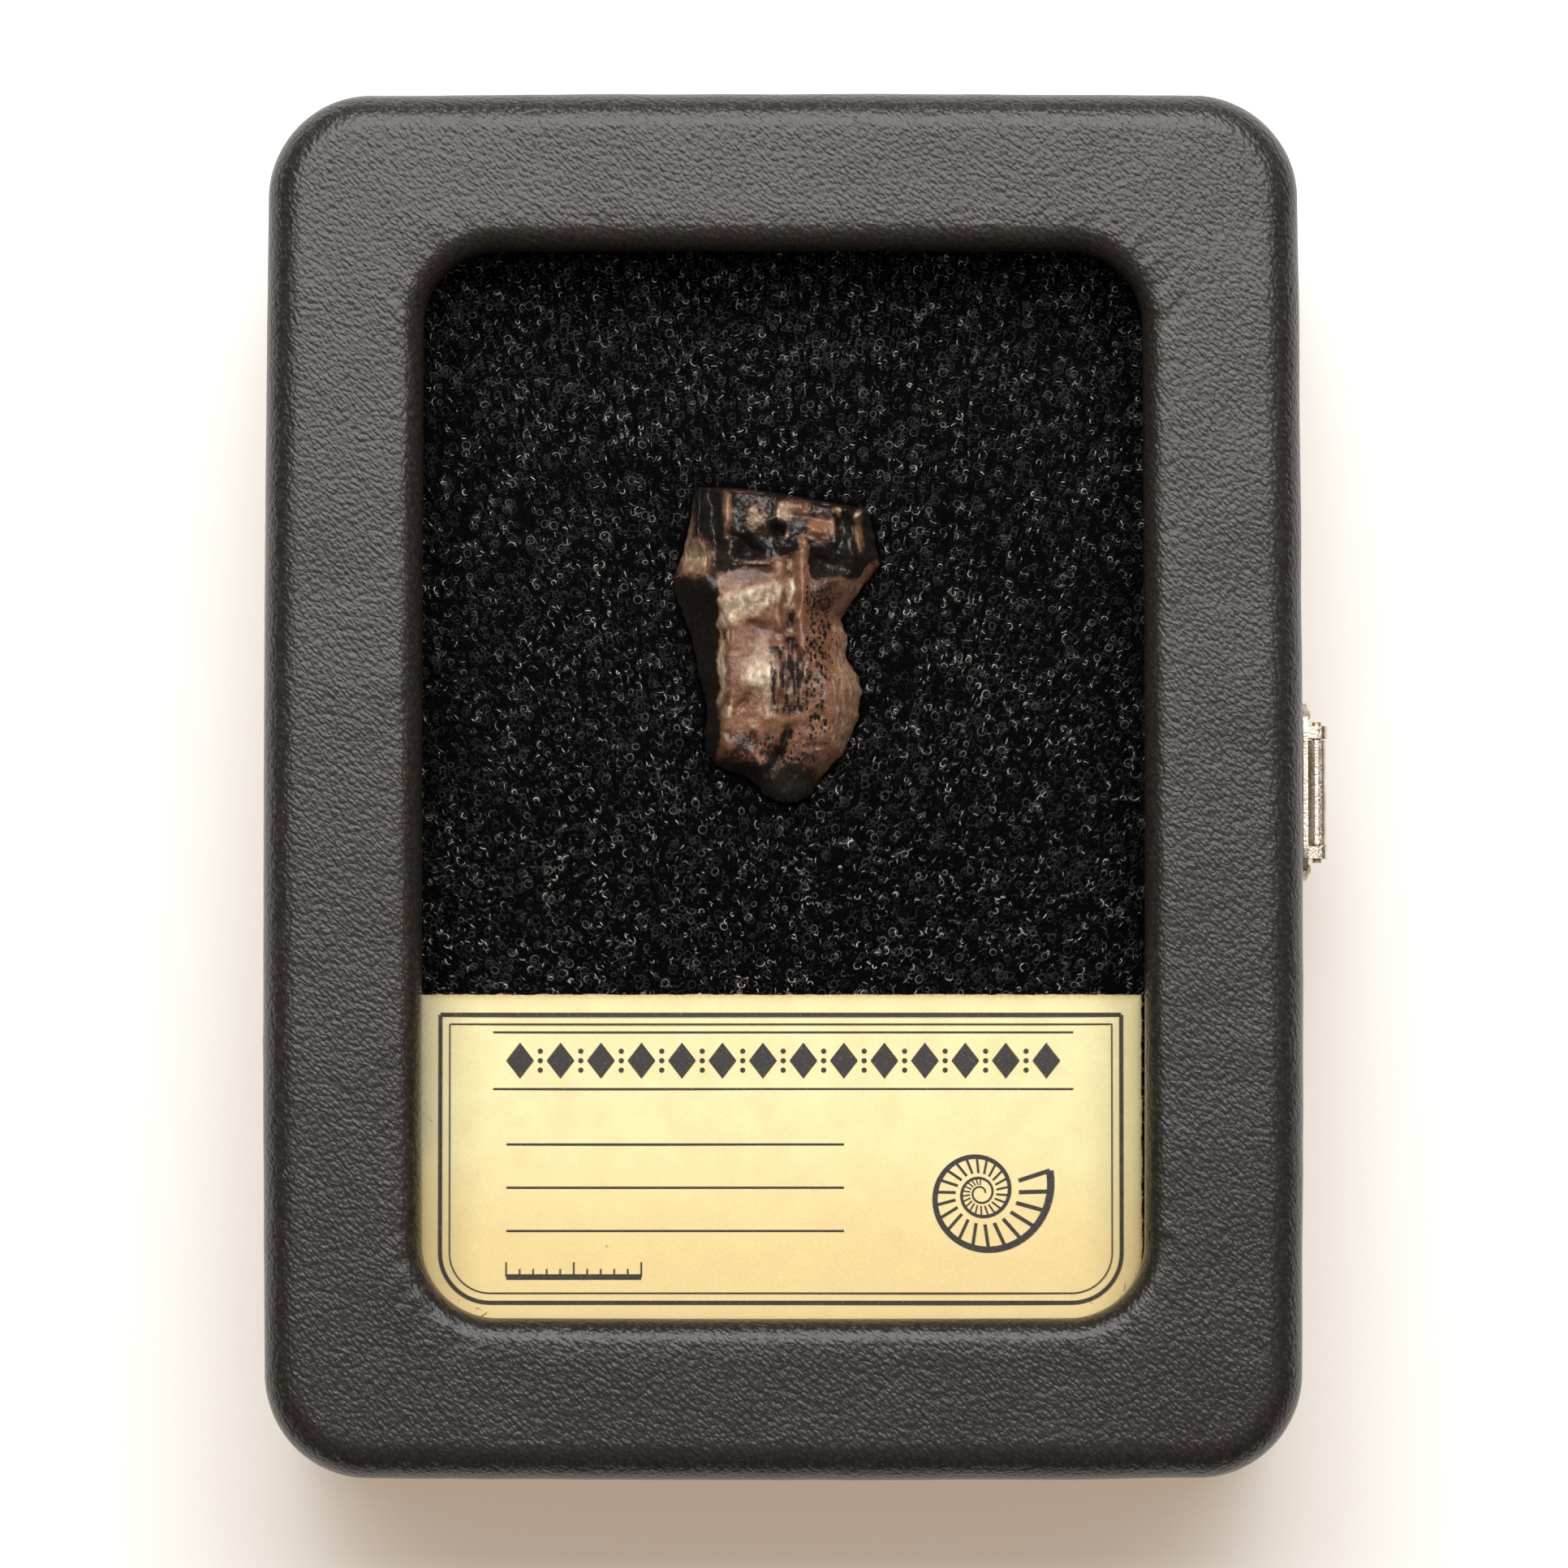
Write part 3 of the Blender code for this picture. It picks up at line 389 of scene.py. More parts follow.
# Where it's drawn into the window the leather gathers into fine pleats, most of all at the corners
row = np.arange(len(lid_rows))
in_corner = (abs(case_way[:, :2]) > 0.96).all(axis=1)
into_window = lid_points[:, ROLL_START - 6, :2]
pleats = PLEAT_DEPTH * (0.25 + 0.75 * in_corner) * mottle(into_window, PLEAT_WIDTH, 29)
drawn_in = np.interp(row - ROLL_START, [-6, 0, 6, 11], [0, 0.8, 1, 0])
lid_points[..., 2] += pleats[:, None] * drawn_in
over = (lid_rows[:, 3] > lid_low.z + SEAM_ROUND) & (row < ROLL_START + 3)
lid_cover = over[None, :] * np.ones((len(case_way), 1))
lid_leather = lay_skin("lid_leather", pad_out(lid_points, lid_cover, LID_PADDING, 23), closed_across=True)
lid_leather.data.materials.append(leatherette)
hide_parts("lid_frame")
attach(lid_leather, "lid")

# Window pane
# A clear sheet of glass laid under the frame's sill. It is coated, so it hardly mirrors the room.
def refinish(node, finish):
    """Gives a solid that stays as it is a finish in place of its plain one."""
    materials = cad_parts[node].data.materials
    materials.clear()
    materials.append(finish)


pane_finish, _ = new_finish("clear window glass", Base_Color=(1, 1, 1, 1), Roughness=0.0, IOR=1.45,
                            Transmission_Weight=1.0, Specular_Tint=(0.1, 0.1, 0.1, 1), Alpha=0.06)
refinish("window_pane", pane_finish)

# Lid liner
# A ring of black-faced board that holds the pane up from inside. Its edge towards the window is
# cut raw: it is coloured black like its face beside the foam, and brown beside the card.
LINER_EDGE = 0.12 * MM
LINER_HALF = np.array([26.75, 39.75]) * MM
LINER_SHIFT = np.array([0.15, 0.15]) * MM
LINER_WANDER = 0.04 * MM

liner_low, liner_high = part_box("lid_liner")


def liner_profile():
    """The liner's cut shape, closed on itself: along the underside, up the raw edge and back on top."""
    inner = (*(LINER_HALF - WINDOW_CORNER), WINDOW_CORNER)
    outer = (liner_high.x - CASE_CORNER + BOARD, liner_high.y - CASE_CORNER + BOARD, CASE_CORNER - BOARD)
    rises = ((0, liner_low.z), (0, liner_low.z + LINER_EDGE), (0, liner_high.z - 3 * LINER_EDGE),
             (0.02 * MM, liner_high.z - LINER_EDGE))
    edge = [(*inner[:2], inner[2] + back, height) for back, height in rises]
    top = [(*inner[:2], inner[2] + step * LINER_EDGE, liner_high.z) for step in (1, 1.5)]
    return np.array([(*outer, liner_low.z), *edge, *top, (*outer, liner_high.z)])


def read(material, name):
    """What the mesh's attribute of that name says."""
    return add(material, "Attribute", attribute_name=name).outputs["Fac"]


def mixed(material, factor, first, second, blend="MIX"):
    """The first colour where the factor is 0, the second where it is 1."""
    inputs = {0: factor, 6: first, 7: second}
    return add(material, "Mix", inputs, data_type="RGBA", blend_type=blend).outputs[2]


def board_finish():
    """Black paper face, and brown board where the raw attribute says that the edge is cut."""
    material, shader = new_finish("black-faced board", Roughness=0.62)
    place = object_place(material)
    fibre = noise(material, place, 0.18 * MM, 3.0, 0.7)
    face = ramp(material, fibre, (0.3, (0.010, 0.009, 0.008)), (0.8, (0.028, 0.024, 0.022)))
    raw = ramp(material, fibre, (0.25, (0.10, 0.060, 0.040)), (0.8, (0.34, 0.22, 0.15)))
    link(material, mixed(material, read(material, "raw"), face, raw), shader, "Base Color")
    raise_grain(material, shader, fibre, 0.03 * MM)
    return material


def paint(piece, name, values):
    """Stores one number for each of the piece's points, for its material to read."""
    layer = piece.data.attributes.new(name, "FLOAT", "POINT")
    layer.data.foreach_set("value", np.ascontiguousarray(values, dtype=np.float32).ravel())


def points_of(piece):
    """The piece's points as an array of rows, one for each."""
    flat = np.empty(len(piece.data.vertices) * 3)
    piece.data.vertices.foreach_get("co", flat)
    return flat.reshape(-1, 3)


liner_way = way_round(160, 110, 20)
liner_points = carry_round(liner_way, liner_profile())
liner_points[:, 1:7, :2] += LINER_SHIFT
liner_points[:, 3:7] += LINER_WANDER * mottle(liner_points[:, 3:7], 0.5 * MM, 31)[..., None] * (1, 1, 0)
liner_board = lay_skin("liner_board", liner_points, closed_across=True)
liner_board.data.materials.append(board_finish())
_, along_board, up_board = points_of(liner_board).T
raw_edge = (up_board > liner_high.z - 4 * LINER_EDGE) & (up_board < liner_high.z - 0.5 * LINER_EDGE)
paint(liner_board, "raw", raw_edge * np.interp(along_board, [-16 * MM, -14 * MM], [1.0, 0.06]))
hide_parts("lid_liner")
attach(liner_board, "lid")

# Tooth
# The fossil itself: one weathered tooth on its back, with a broken collar full of holes and
# crystal, an enamel face, a groove with a smooth rib beside it, a pitted lobe and a worn tip.
TOOTH_RIM_Z = 18.5 * MM
TOOTH_ROWS, TOOTH_COLUMNS = 250, 185
TOOTH_LEAST = 0.5
CROWN_SLANT, SLANT_FROM = 1.56, 15.5
# The side edges in millimetres, as (distance along, place across), crown to tip
LEFT_EDGE = (
    (22.43, -6.50), (20.33, -6.89), (18.41, -7.19), (16.68, -7.66), (15.72, -8.17), (14.40, -7.93),
    (12.84, -7.45), (11.17, -6.77), (8.47, -6.29), (5.60, -5.57), (4.10, -5.81), (2.93, -5.81),
    (2.05, -5.33), (1.50, -4.60), (1.15, -3.50), (0.80, -2.55), (0.15, -1.92), (-0.39, -1.44),
    (-1.05, -0.25),
)
RIGHT_EDGE = (
    (22.43, 6.20), (22.10, 6.45), (20.30, 6.71), (17.75, 7.08), (16.70, 7.10), (15.70, 6.40),
    (13.74, 4.97), (12.49, 4.29), (11.20, 4.73), (9.70, 4.66), (8.20, 5.63), (7.20, 5.81),
    (5.06, 5.51), (2.54, 4.37), (0.63, 2.67), (-0.39, 2.10), (-1.05, 0.95),
)
# Ridges and grooves in millimetres, as start, end, half width and height
RIDGES = (
    # Collar: rib along the left edge, the trough beside it, the pitted rib and the crest
    ((-6.7, 21.6), (-7.0, 18.2), 0.5, 0.7), ((-5.5, 22.0), (-5.1, 16.6), 0.7, -2.1),
    ((-4.15, 21.8), (-4.2, 19.2), 0.42, 0.75), ((-3.6, 16.5), (-1.1, 16.4), 0.36, 0.6),
    ((-4.2, 22.0), (0.6, 22.0), 0.3, 0.25),
    # Collar: ribs like a letter V, the thin bright rib and the two on the right
    ((0.95, 21.5), (1.55, 19.9), 0.2, 0.35), ((2.2, 21.4), (1.6, 19.8), 0.2, 0.35),
    ((2.6, 20.95), (3.5, 20.65), 0.2, 0.3), ((5.6, 20.7), (5.65, 17.6), 0.4, 0.65),
    ((3.7, 20.9), (3.9, 18.2), 0.22, 0.3), ((3.9, 14.7), (6.1, 15.2), 0.45, 0.45),
    # Enamel face: shoulder, edge rib and the slits in the collar above it
    ((-4.9, 13.7), (-0.1, 14.7), 0.8, 0.5), ((-4.5, 12.2), (-4.45, 6.0), 0.36, 0.32),
    ((-3.9, 12.1), (-3.9, 10.6), 0.2, 0.18), ((-2.8, 12.0), (-1.2, 13.2), 0.3, 0.18),
    ((-2.75, 11.9), (-0.4, 11.3), 0.45, -0.35),
    # The groove, the rib beside it and its knots
    ((0.5, 17.0), (0.5, 10.2), 0.42, -1.0), ((1.4, 17.7), (1.4, 10.2), 0.5, 0.55),
    ((0.45, 15.2), (0.5, 13.2), 0.3, 0.45), ((0.5, 11.6), (0.6, 11.2), 0.28, 0.6),
    ((-0.35, 15.0), (-0.45, 10.8), 0.3, 0.25),
    # Fibrous part below the groove
    ((1.7, 9.9), (1.65, 7.9), 0.22, 0.35), ((0.25, 9.8), (0.1, 6.8), 0.22, 0.2),
    ((0.9, 9.9), (0.95, 5.6), 0.2, -0.3), ((-0.4, 9.6), (-0.5, 6.0), 0.2, -0.3),
    # The scratch across the low left, the lips beside the cleft and the cleft
    ((-3.4, 5.5), (-2.5, 6.8), 0.16, -0.3), ((-2.1, 2.4), (-1.1, 1.4), 0.4, 0.35),
    ((0.3, 4.2), (-0.2, 2.4), 0.45, -0.8), ((-0.2, 2.4), (-1.3, 0.9), 0.4, -0.7),
)
# Mounds and hollows in millimetres, as centre, reach across, reach along and height
MOUNDS = (
    # Collar, left to right
    ((-6.5, 16.7), 1.0, 1.2, 1.2), ((-3.9, 18.6), 0.42, 0.42, -0.5), ((-1.9, 19.8), 1.1, 1.3, 0.55),
    ((-1.8, 20.3), 0.25, 0.3, -0.8), ((-2.6, 17.5), 1.05, 0.8, -1.7), ((0.2, 20.3), 0.7, 1.0, 0.75),
    ((-0.24, 18.95), 0.42, 0.45, -1.5), ((0.35, 18.5), 0.3, 0.3, 0.45), ((-0.3, 17.8), 0.25, 0.4, 0.5),
    ((2.7, 19.2), 0.85, 0.75, 0.7), ((4.0, 20.4), 0.3, 0.3, 0.35), ((4.4, 19.3), 0.6, 1.4, -1.5),
    ((6.5, 18.8), 0.55, 1.6, -0.9), ((3.5, 16.4), 1.7, 1.0, -2.0), ((5.0, 15.9), 0.5, 0.4, -0.8),
    # Enamel face, top to bottom
    ((-4.3, 11.3), 0.3, 0.5, -0.35), ((-1.6, 10.6), 1.6, 1.3, -0.55), ((-1.8, 7.9), 1.2, 0.9, 0.5),
    ((-4.2, 5.5), 0.5, 0.5, 0.25), ((-1.1, 5.0), 0.5, 0.6, 0.3), ((-2.3, 4.3), 0.5, 0.45, 0.25),
    ((-3.4, 2.9), 1.5, 1.1, 0.3), ((-3.2, 6.3), 0.6, 0.8, -0.2),
    # Middle and right lobe
    ((0.6, 7.8), 1.1, 2.2, 0.35), ((1.25, 6.5), 0.55, 0.7, 0.5), ((4.0, 6.3), 1.6, 3.0, 0.55),
    ((2.9, 10.6), 0.5, 1.6, -0.35), ((2.4, 4.6), 0.5, 1.2, -0.3), ((4.4, 10.6), 0.6, 1.0, 0.3),
)


def smooth(low, high, value):
    """0 below low, 1 above high, with a smooth step between; low may be the larger."""
    part = np.clip((value - low) / (high - low), 0.0, 1.0)
    return part * part * (3.0 - 2.0 * part)


def lesser(first, second, blend=0.3):
    """The lesser of two heights, rounded where they cross: minus the logarithm of the sum of the
    exponentials of minus each height over the blend, times the blend."""
    return -blend * np.logaddexp(-first / blend, -second / blend)


def along_line(x, y, start, end, width):
    """1 on a straight line, falling off as a bell with the distance from it over the width."""
    run_x, run_y = end[0] - start[0], end[1] - start[1]
    part = np.clip(((x - start[0]) * run_x + (y - start[1]) * run_y) / (run_x**2 + run_y**2), 0, 1)
    away = (x - start[0] - part * run_x) ** 2 + (y - start[1] - part * run_y) ** 2
    return np.exp(-away / width**2)


def around_spot(x, y, centre, reach_x, reach_y):
    """1 at a spot, falling off as a bell with the distance over the reach in each direction."""
    return np.exp(-((x - centre[0]) / reach_x) ** 2 - ((y - centre[1]) / reach_y) ** 2)


def edge_place(edge, level):
    """A side edge's place across at each level along the tooth."""
    return np.interp(-level, [-along for along, _ in edge], [across for _, across in edge])


def crown_drop(x, level):
    """How far the broken crown lies below its level, because it was broken off aslant."""
    slant = CROWN_SLANT * smooth(-5.0, 9.5, x) / smooth(-5.0, 9.5, 6.2)
    return slant * smooth(SLANT_FROM, LEFT_EDGE[0][0], level)


def tooth_plan():
    """The grid seen from above, in millimetres: rows run crown to tip, columns left to right."""
    even = np.linspace(0, 1, TOOTH_ROWS)
    along = 0.25 * (0.5 - 0.5 * np.cos(math.pi * even)) + 0.75 * even
    level = LEFT_EDGE[0][0] + (LEFT_EDGE[-1][0] - LEFT_EDGE[0][0]) * along
    even = np.linspace(0, 1, TOOTH_COLUMNS)
    across = 0.35 * (0.5 - 0.5 * np.cos(math.pi * even)) + 0.65 * even
    # The edges are jagged by a few hundredths, more so along the broken crown
    left = edge_place(LEFT_EDGE, level) + 0.10 * mottle(np.stack([level, level], -1), 0.7, 41)
    right = edge_place(RIGHT_EDGE, level) + 0.10 * mottle(np.stack([level, level], -1), 0.6, 43)
    x = left[:, None] + (right - left)[:, None] * across[None, :]
    level = np.repeat(level[:, None], TOOTH_COLUMNS, axis=1)
    return x, level - crown_drop(x, level), level


def round_rim(grid):
    """The values along a grid's four sides, in order and none of them twice."""
    return np.concatenate([grid[0, :-1], grid[:-1, -1], grid[-1, :0:-1], grid[:0:-1, 0]])


def tooth_outline(step=1):
    """The tooth's outline in millimetres, as a closed run of points."""
    x, y, _ = tooth_plan()
    return np.stack([round_rim(x), round_rim(y)], axis=-1)[::step]


def outline_distance(x, y, outline):
    """Each point's distance to a closed outline: the least of the distances to its segments."""
    start, run = outline, np.roll(outline, -1, axis=0) - outline
    off_x, off_y = x[..., None] - start[:, 0], y[..., None] - start[:, 1]
    part = np.clip((off_x * run[:, 0] + off_y * run[:, 1]) / (run**2).sum(axis=1), 0, 1)
    return np.hypot(off_x - part * run[:, 0], off_y - part * run[:, 1]).min(axis=-1)


def tooth_grain(x, y):
    """Roughness of the surface in millimetres: mottling at three sizes, strong in the broken collar,
    drawn out along the tooth in the fibrous part and weak on the enamel and on the smooth rib."""
    place = np.stack([x, y], axis=-1)
    broken = smooth(15.6, 16.8, y + 0.9 * smooth(1.5, 5.5, x))
    fibres = smooth(-1.1, -0.6, x) * smooth(2.3, 1.6, x) * smooth(10.6, 10.0, y) * smooth(4.8, 5.6, y)
    lobe = smooth(2.0, 2.8, x) * smooth(13.5, 12.5, y)
    sleek = smooth(0.8, 1.0, x) * smooth(2.0, 1.8, x) * smooth(10.0, 10.5, y) * smooth(17.6, 17.2, y)
    grain = (0.05 + 0.15 * broken) * mottle(place, 1.3, 51)
    grain += (0.035 + 0.10 * broken + 0.03 * lobe) * mottle(place, 0.55, 52)
    grain += (0.02 + 0.06 * broken + 0.02 * lobe) * mottle(place, 0.26, 53)
    streaks = mottle(np.stack([x, 0.22 * y], axis=-1), 0.28, 54)
    ribs = mottle(np.stack([0.3 * x, y], axis=-1), 0.3, 55)
    across_ribs = smooth(-1.9, -1.4, x) * smooth(-0.5, -0.9, x) * smooth(8.4, 8.0, y) * smooth(6.1, 6.5, y)
    grain = grain * (1 - 0.8 * sleek) + 0.11 * fibres * streaks + 0.08 * across_ribs * ribs
    pits = smooth(0.35, 0.75, mottle(place, 0.5, 56))
    pitted = 0.25 + 0.9 * broken + 0.5 * lobe + 0.6 * smooth(4.6, 3.8, y)
    return grain - 0.16 * pits * pitted * (1 - sleek)


def tooth_front(x, y, level, near):
    """Height of the front above the rim in millimetres: a long dome with its ridges and mounds, and
    sides that fall away as a power of the distance to the rim."""
    bend = np.where(y > 12.0, 0.0115, 0.0185)
    relief = 4.3 - bend * (y - 12.0) ** 2
    relief -= 0.9 * smooth(1.6, 5.6, x) * smooth(15.0, 12.5, y)
    # The places of the features wander a little, so that none is straight or round
    place = np.stack([x, y], axis=-1)
    near_x = x + 0.16 * mottle(place, 0.9, 57) + 0.07 * mottle(place, 0.4, 58)
    near_y = y + 0.18 * mottle(place, 0.9, 59) + 0.07 * mottle(place, 0.4, 60)
    for start, end, width, height in RIDGES:
        relief += height * along_line(near_x, near_y, start, end, width)
    for centre, reach_x, reach_y, height in MOUNDS:
        relief += height * around_spot(near_x, near_y, centre, reach_x, reach_y)
    relief -= 0.5 * smooth(2.4, 0.2, y) * smooth(-2.0, -0.5, x)
    relief = -lesser(-relief, np.full(relief.shape, -TOOTH_LEAST)) + tooth_grain(x, y)
    left = smooth(0.5, -2.5, x)
    steep = 2.2 + left * np.interp(y, [4.0, 12.0, 17.0, 19.0], [0.2, -0.8, -0.2, 2.6])
    steep = (steep + (4.6 - steep) * smooth(20.4, 21.9, level)) * (1.0 - 0.45 * smooth(2.0, 0.0, y))
    sides = steep * near ** (0.72 + 0.26 * left * smooth(18.0, 15.5, y))
    sides += 0.10 * smooth(0, 0.6, near) * mottle(place, 0.8, 61)
    return lesser(relief, sides, 0.2)


def tooth_back(y, near):
    """Height of the back below the rim in millimetres, a plainer dome that lies in the foam."""
    return -lesser(3.7 - 0.012 * (y - 11.0) ** 2, 2.6 * near**0.7)


def join_sheets(name, upper, lower):
    """One closed mesh from two grids of points over the same plan: both grids and the walls between
    their rims, which merge where the rims coincide."""
    rows, columns = upper.shape[:2]
    top = np.arange(rows * columns).reshape(rows, columns)
    under = top + rows * columns
    faces = [np.stack([top[:-1, :-1], top[1:, :-1], top[1:, 1:], top[:-1, 1:]], axis=-1),
             np.stack([under[:-1, :-1], under[:-1, 1:], under[1:, 1:], under[1:, :-1]], axis=-1)]
    if not np.allclose(upper[0], lower[0]):
        above, below = round_rim(top), round_rim(under)
        faces.append(np.stack([above, np.roll(above, -1), np.roll(below, -1), below], axis=-1))
    points = np.concatenate([upper.reshape(-1, 3), lower.reshape(-1, 3)])
    return put_in_mesh(name, points, np.concatenate([part.reshape(-1, 4) for part in faces]))


def most_of(x, y, spots):
    """The greatest of several soft-edged ellipses, given as centre, reach across and along, amount."""
    most = np.zeros(x.shape)
    for centre, reach_x, reach_y, amount in spots:
        away = np.hypot((x - centre[0]) / reach_x, (y - centre[1]) / reach_y)
        most = np.maximum(most, amount * smooth(1.75, 0.2, away))
    return most


def within(low_x, high_x, low_y, high_y, x, y, edge=0.25):
    """1 inside a rectangle in millimetres, with soft edges."""
    return (smooth(low_x - edge, low_x + edge, x) * smooth(high_x + edge, high_x - edge, x)
            * smooth(low_y - edge, low_y + edge, y) * smooth(high_y + edge, high_y - edge, y))


def tooth_stains_and_painted_light(x, y, near):
    """How dark, pale, rusty and spotted each point is, from 0 to 1: the broken collar is stained
    dark all over, with paler islands of crystal; the face has soft patches with wandering edges.
    The face's pale patches and its band are painted highlights. The dark of the left side wall, the
    top edge, the cleft and the tip is painted shade, and in the hollows and the groove the dark is
    partly stains, partly painted shade."""
    place = np.stack([x, y], axis=-1)
    aslant = np.stack([0.8 * x + 0.6 * y, 0.8 * y - 0.6 * x], axis=-1)
    fine = mottle(aslant, 0.3, 75) * 0.6 + mottle(place, 0.19, 76) * 0.6
    streak = mottle(np.stack([x, 0.35 * y], axis=-1), 0.22, 77)
    x = x + 0.22 * mottle(place, 0.8, 71) + 0.10 * mottle(place, 0.3, 72)
    y = y + 0.22 * mottle(place, 0.8, 73) + 0.10 * mottle(place, 0.3, 74)
    fibrous = within(-0.9, 1.8, 5.3, 10.4, x, y)
    pale = most_of(x, y, (
        # Collar
        ((-1.95, 19.8), 0.95, 1.05, 0.68), ((0.15, 20.4), 0.65, 0.95, 0.85), ((0.1, 18.6), 0.45, 0.4, 0.6),
        ((-4.15, 20.4), 0.34, 1.3, 0.5), ((-4.3, 18.6), 0.35, 0.4, 0.5), ((-2.3, 16.5), 1.3, 0.25, 0.55),
        ((-6.4, 16.9), 0.95, 1.2, 1.0), ((-7.0, 19.0), 0.4, 2.2, 0.65), ((4.05, 20.45), 0.33, 0.3, 1.0),
        ((3.2, 20.85), 0.5, 0.13, 0.8), ((5.65, 20.0), 0.28, 1.1, 0.5), ((5.5, 18.3), 0.12, 0.9, 0.7),
        ((3.55, 19.3), 0.2, 0.8, 0.45), ((-2.0, 21.4), 1.6, 0.15, 0.4), ((5.2, 14.9), 1.0, 0.25, 0.5),
        # Groove and fibrous part: pale crystal in the groove, painted highlights in the fibrous part
        ((0.5, 16.4), 0.2, 0.35, 0.8), ((0.5, 14.3), 0.24, 1.0, 1.0), ((0.5, 11.4), 0.35, 0.3, 0.75),
        ((1.65, 8.8), 0.15, 0.95, 0.75), ((1.25, 6.4), 0.6, 0.5, 0.6), ((0.3, 7.6), 0.6, 2.0, 0.35),
        # Face: mostly painted highlights where the enamel catches the light, with one paler mottled patch
        ((-4.5, 8.5), 0.28, 2.2, 1.0), ((-4.2, 5.5), 0.38, 0.3, 0.9), ((-3.9, 11.4), 0.12, 0.8, 0.8),
        ((-1.6, 8.2), 1.5, 1.25, 1.1), ((-1.7, 10.2), 1.0, 1.0, 0.4), ((-1.2, 6.6), 0.6, 1.1, 0.65),
        ((-1.1, 5.1), 0.5, 0.3, 0.7), ((-2.2, 4.35), 0.4, 0.25, 0.5), ((-4.7, 12.6), 0.2, 1.2, 0.7),
        ((-1.5, 1.85), 0.5, 0.16, 0.7), ((3.0, 4.2), 0.12, 0.5, 0.6),
    ))
    # The band along the top of the face is a painted highlight, where its shoulder faces the light
    band_top = 13.8 + 0.27 * (x + 5.2)
    band_foot = np.interp(x, [-4.7, -2.8, -1.26, 0.0], [11.9, 12.2, 13.3, 13.6])
    band = smooth(-0.5, 0.6, band_top - y) * smooth(-0.5, 0.5, y - band_foot)
    band *= within(-4.9, 0.05, 11, 16, x, y)
    lobe = smooth(2.8, 4.0, x) * smooth(13.5, 11.5, y) * smooth(1.5, 3.5, y)
    pale = np.maximum.reduce([pale, 0.95 * band, (0.40 + 0.20 * smooth(0.2, 0.6, fine)) * lobe])
    # The collar's lower limit runs lower below the big hollow on the right
    limit = np.interp(x, [-5.0, -3.8, -1.0, 0.1, 1.5, 2.0, 5.4, 6.2, 7.0],
                      [15.6, 16.0, 16.0, 17.0, 17.4, 15.2, 15.4, 16.6, 17.0])
    brown = most_of(x, y, (
        ((2.7, 19.1), 1.0, 1.1, 1.0), ((1.4, 20.6), 0.7, 1.1, 0.6), ((5.6, 19.2), 0.4, 1.7, 0.8),
        ((1.5, 17.5), 0.4, 1.0, 0.9), ((-7.0, 19.2), 0.55, 2.6, 0.95), ((-6.5, 16.8), 1.2, 1.6, 1.0),
        ((-4.2, 20.3), 0.5, 1.6, 0.6), ((-1.0, 16.6), 1.0, 0.35, 0.5), ((-1.8, 21.95), 2.3, 0.16, 1.0),
    ))
    collar = smooth(-0.3, 0.3, y - limit) * (1.0 - 0.12 * fine)
    # Painted shade: the steep left side wall, which faces away from the light
    shaded_flank = smooth(-4.6, -5.05, x) * smooth(16.2, 15.4, y) * smooth(1.0, 1.8, y)
    # Hollows, pits, the groove and the tip are darker, partly as stains and partly as painted shade
    hollows = most_of(x, y, (
        ((0.9, 0.0), 2.0, 1.9, 1.15), ((-1.5, 11.6), 1.2, 0.35, 0.45), ((0.5, 12.4), 0.35, 0.6, 0.95),
        ((0.5, 10.7), 0.35, 0.35, 0.8), ((-4.3, 11.2), 0.22, 0.4, 0.7), ((-0.24, 18.95), 0.45, 0.42, 1.0),
        ((-1.8, 20.3), 0.2, 0.25, 1.0), ((-4.5, 3.2), 0.7, 1.6, 0.35), ((2.7, 14.2), 1.5, 2.0, 0.58),
        ((-2.3, 15.5), 2.6, 0.6, 0.55),
    ))
    # Dark: stains over the collar and in the speckled and fibrous zones; painted shade on the left side
    # wall, along the top edge, in the cleft and at the tip
    dark = np.maximum.reduce([
        collar * (1 - brown) * (1 - 0.95 * pale), 0.97 * shaded_flank * (1 - 0.6 * brown), hollows,
        0.75 * along_line(x, y, (0.5, 17.0), (0.5, 10.3), 0.33) * (1 - pale),
        0.95 * along_line(x, y, (0.3, 3.9), (-0.3, 2.4), 0.45),
        0.95 * along_line(x, y, (-0.3, 2.4), (-1.4, 0.8), 0.6),
        0.95 * smooth(1.7, 0.7, near) * smooth(2.9, 1.5, y) * smooth(1.5, 0.0, x),
        smooth(0.50, 0.22, near) * smooth(20.3, 20.9, y + 0.2 * x),
        (0.36 + 0.40 * smooth(-0.2, 0.3, fine)) * within(-4.3, -0.4, 1.8, 4.2, x, y, 0.8),
        (0.40 + 0.40 * smooth(-0.2, 0.25, streak)) * fibrous,
        (0.36 + 0.34 * smooth(-0.2, 0.35, fine)) * within(0.6, 2.9, 0.4, 3.6, x, y, 0.8),
    ])
    rust = most_of(x, y, (
        ((1.45, 13.5), 0.6, 4.0, 0.6), ((2.7, 19.2), 1.0, 0.9, 0.7), ((-1.8, 15.6), 2.6, 0.6, 0.9),
        ((-1.8, 21.95), 2.3, 0.2, 1.0), ((-2.5, 3.8), 2.6, 2.4, 0.6), ((4.3, 8.0), 1.8, 5.5, 0.70),
        ((2.0, 1.5), 1.2, 1.4, 0.7), ((-3.2, 9.4), 0.5, 1.8, 0.6), ((-7.0, 19.6), 0.4, 1.5, 0.5),
        ((5.6, 19.2), 0.4, 1.7, 0.6), ((0.3, 18.5), 0.3, 0.2, 1.0),
    ))
    spotted = np.maximum.reduce([0.25 + 0.2 * smooth(0, 3, x), within(1.4, 3.6, 2.8, 14.8, x, y, 0.7),
                                 0.8 * within(-4.2, 3.0, 1.0, 4.2, x, y, 0.7)])
    return dark, 0.9 * pale * (1 - 0.6 * shaded_flank), rust, spotted * (1 - band)


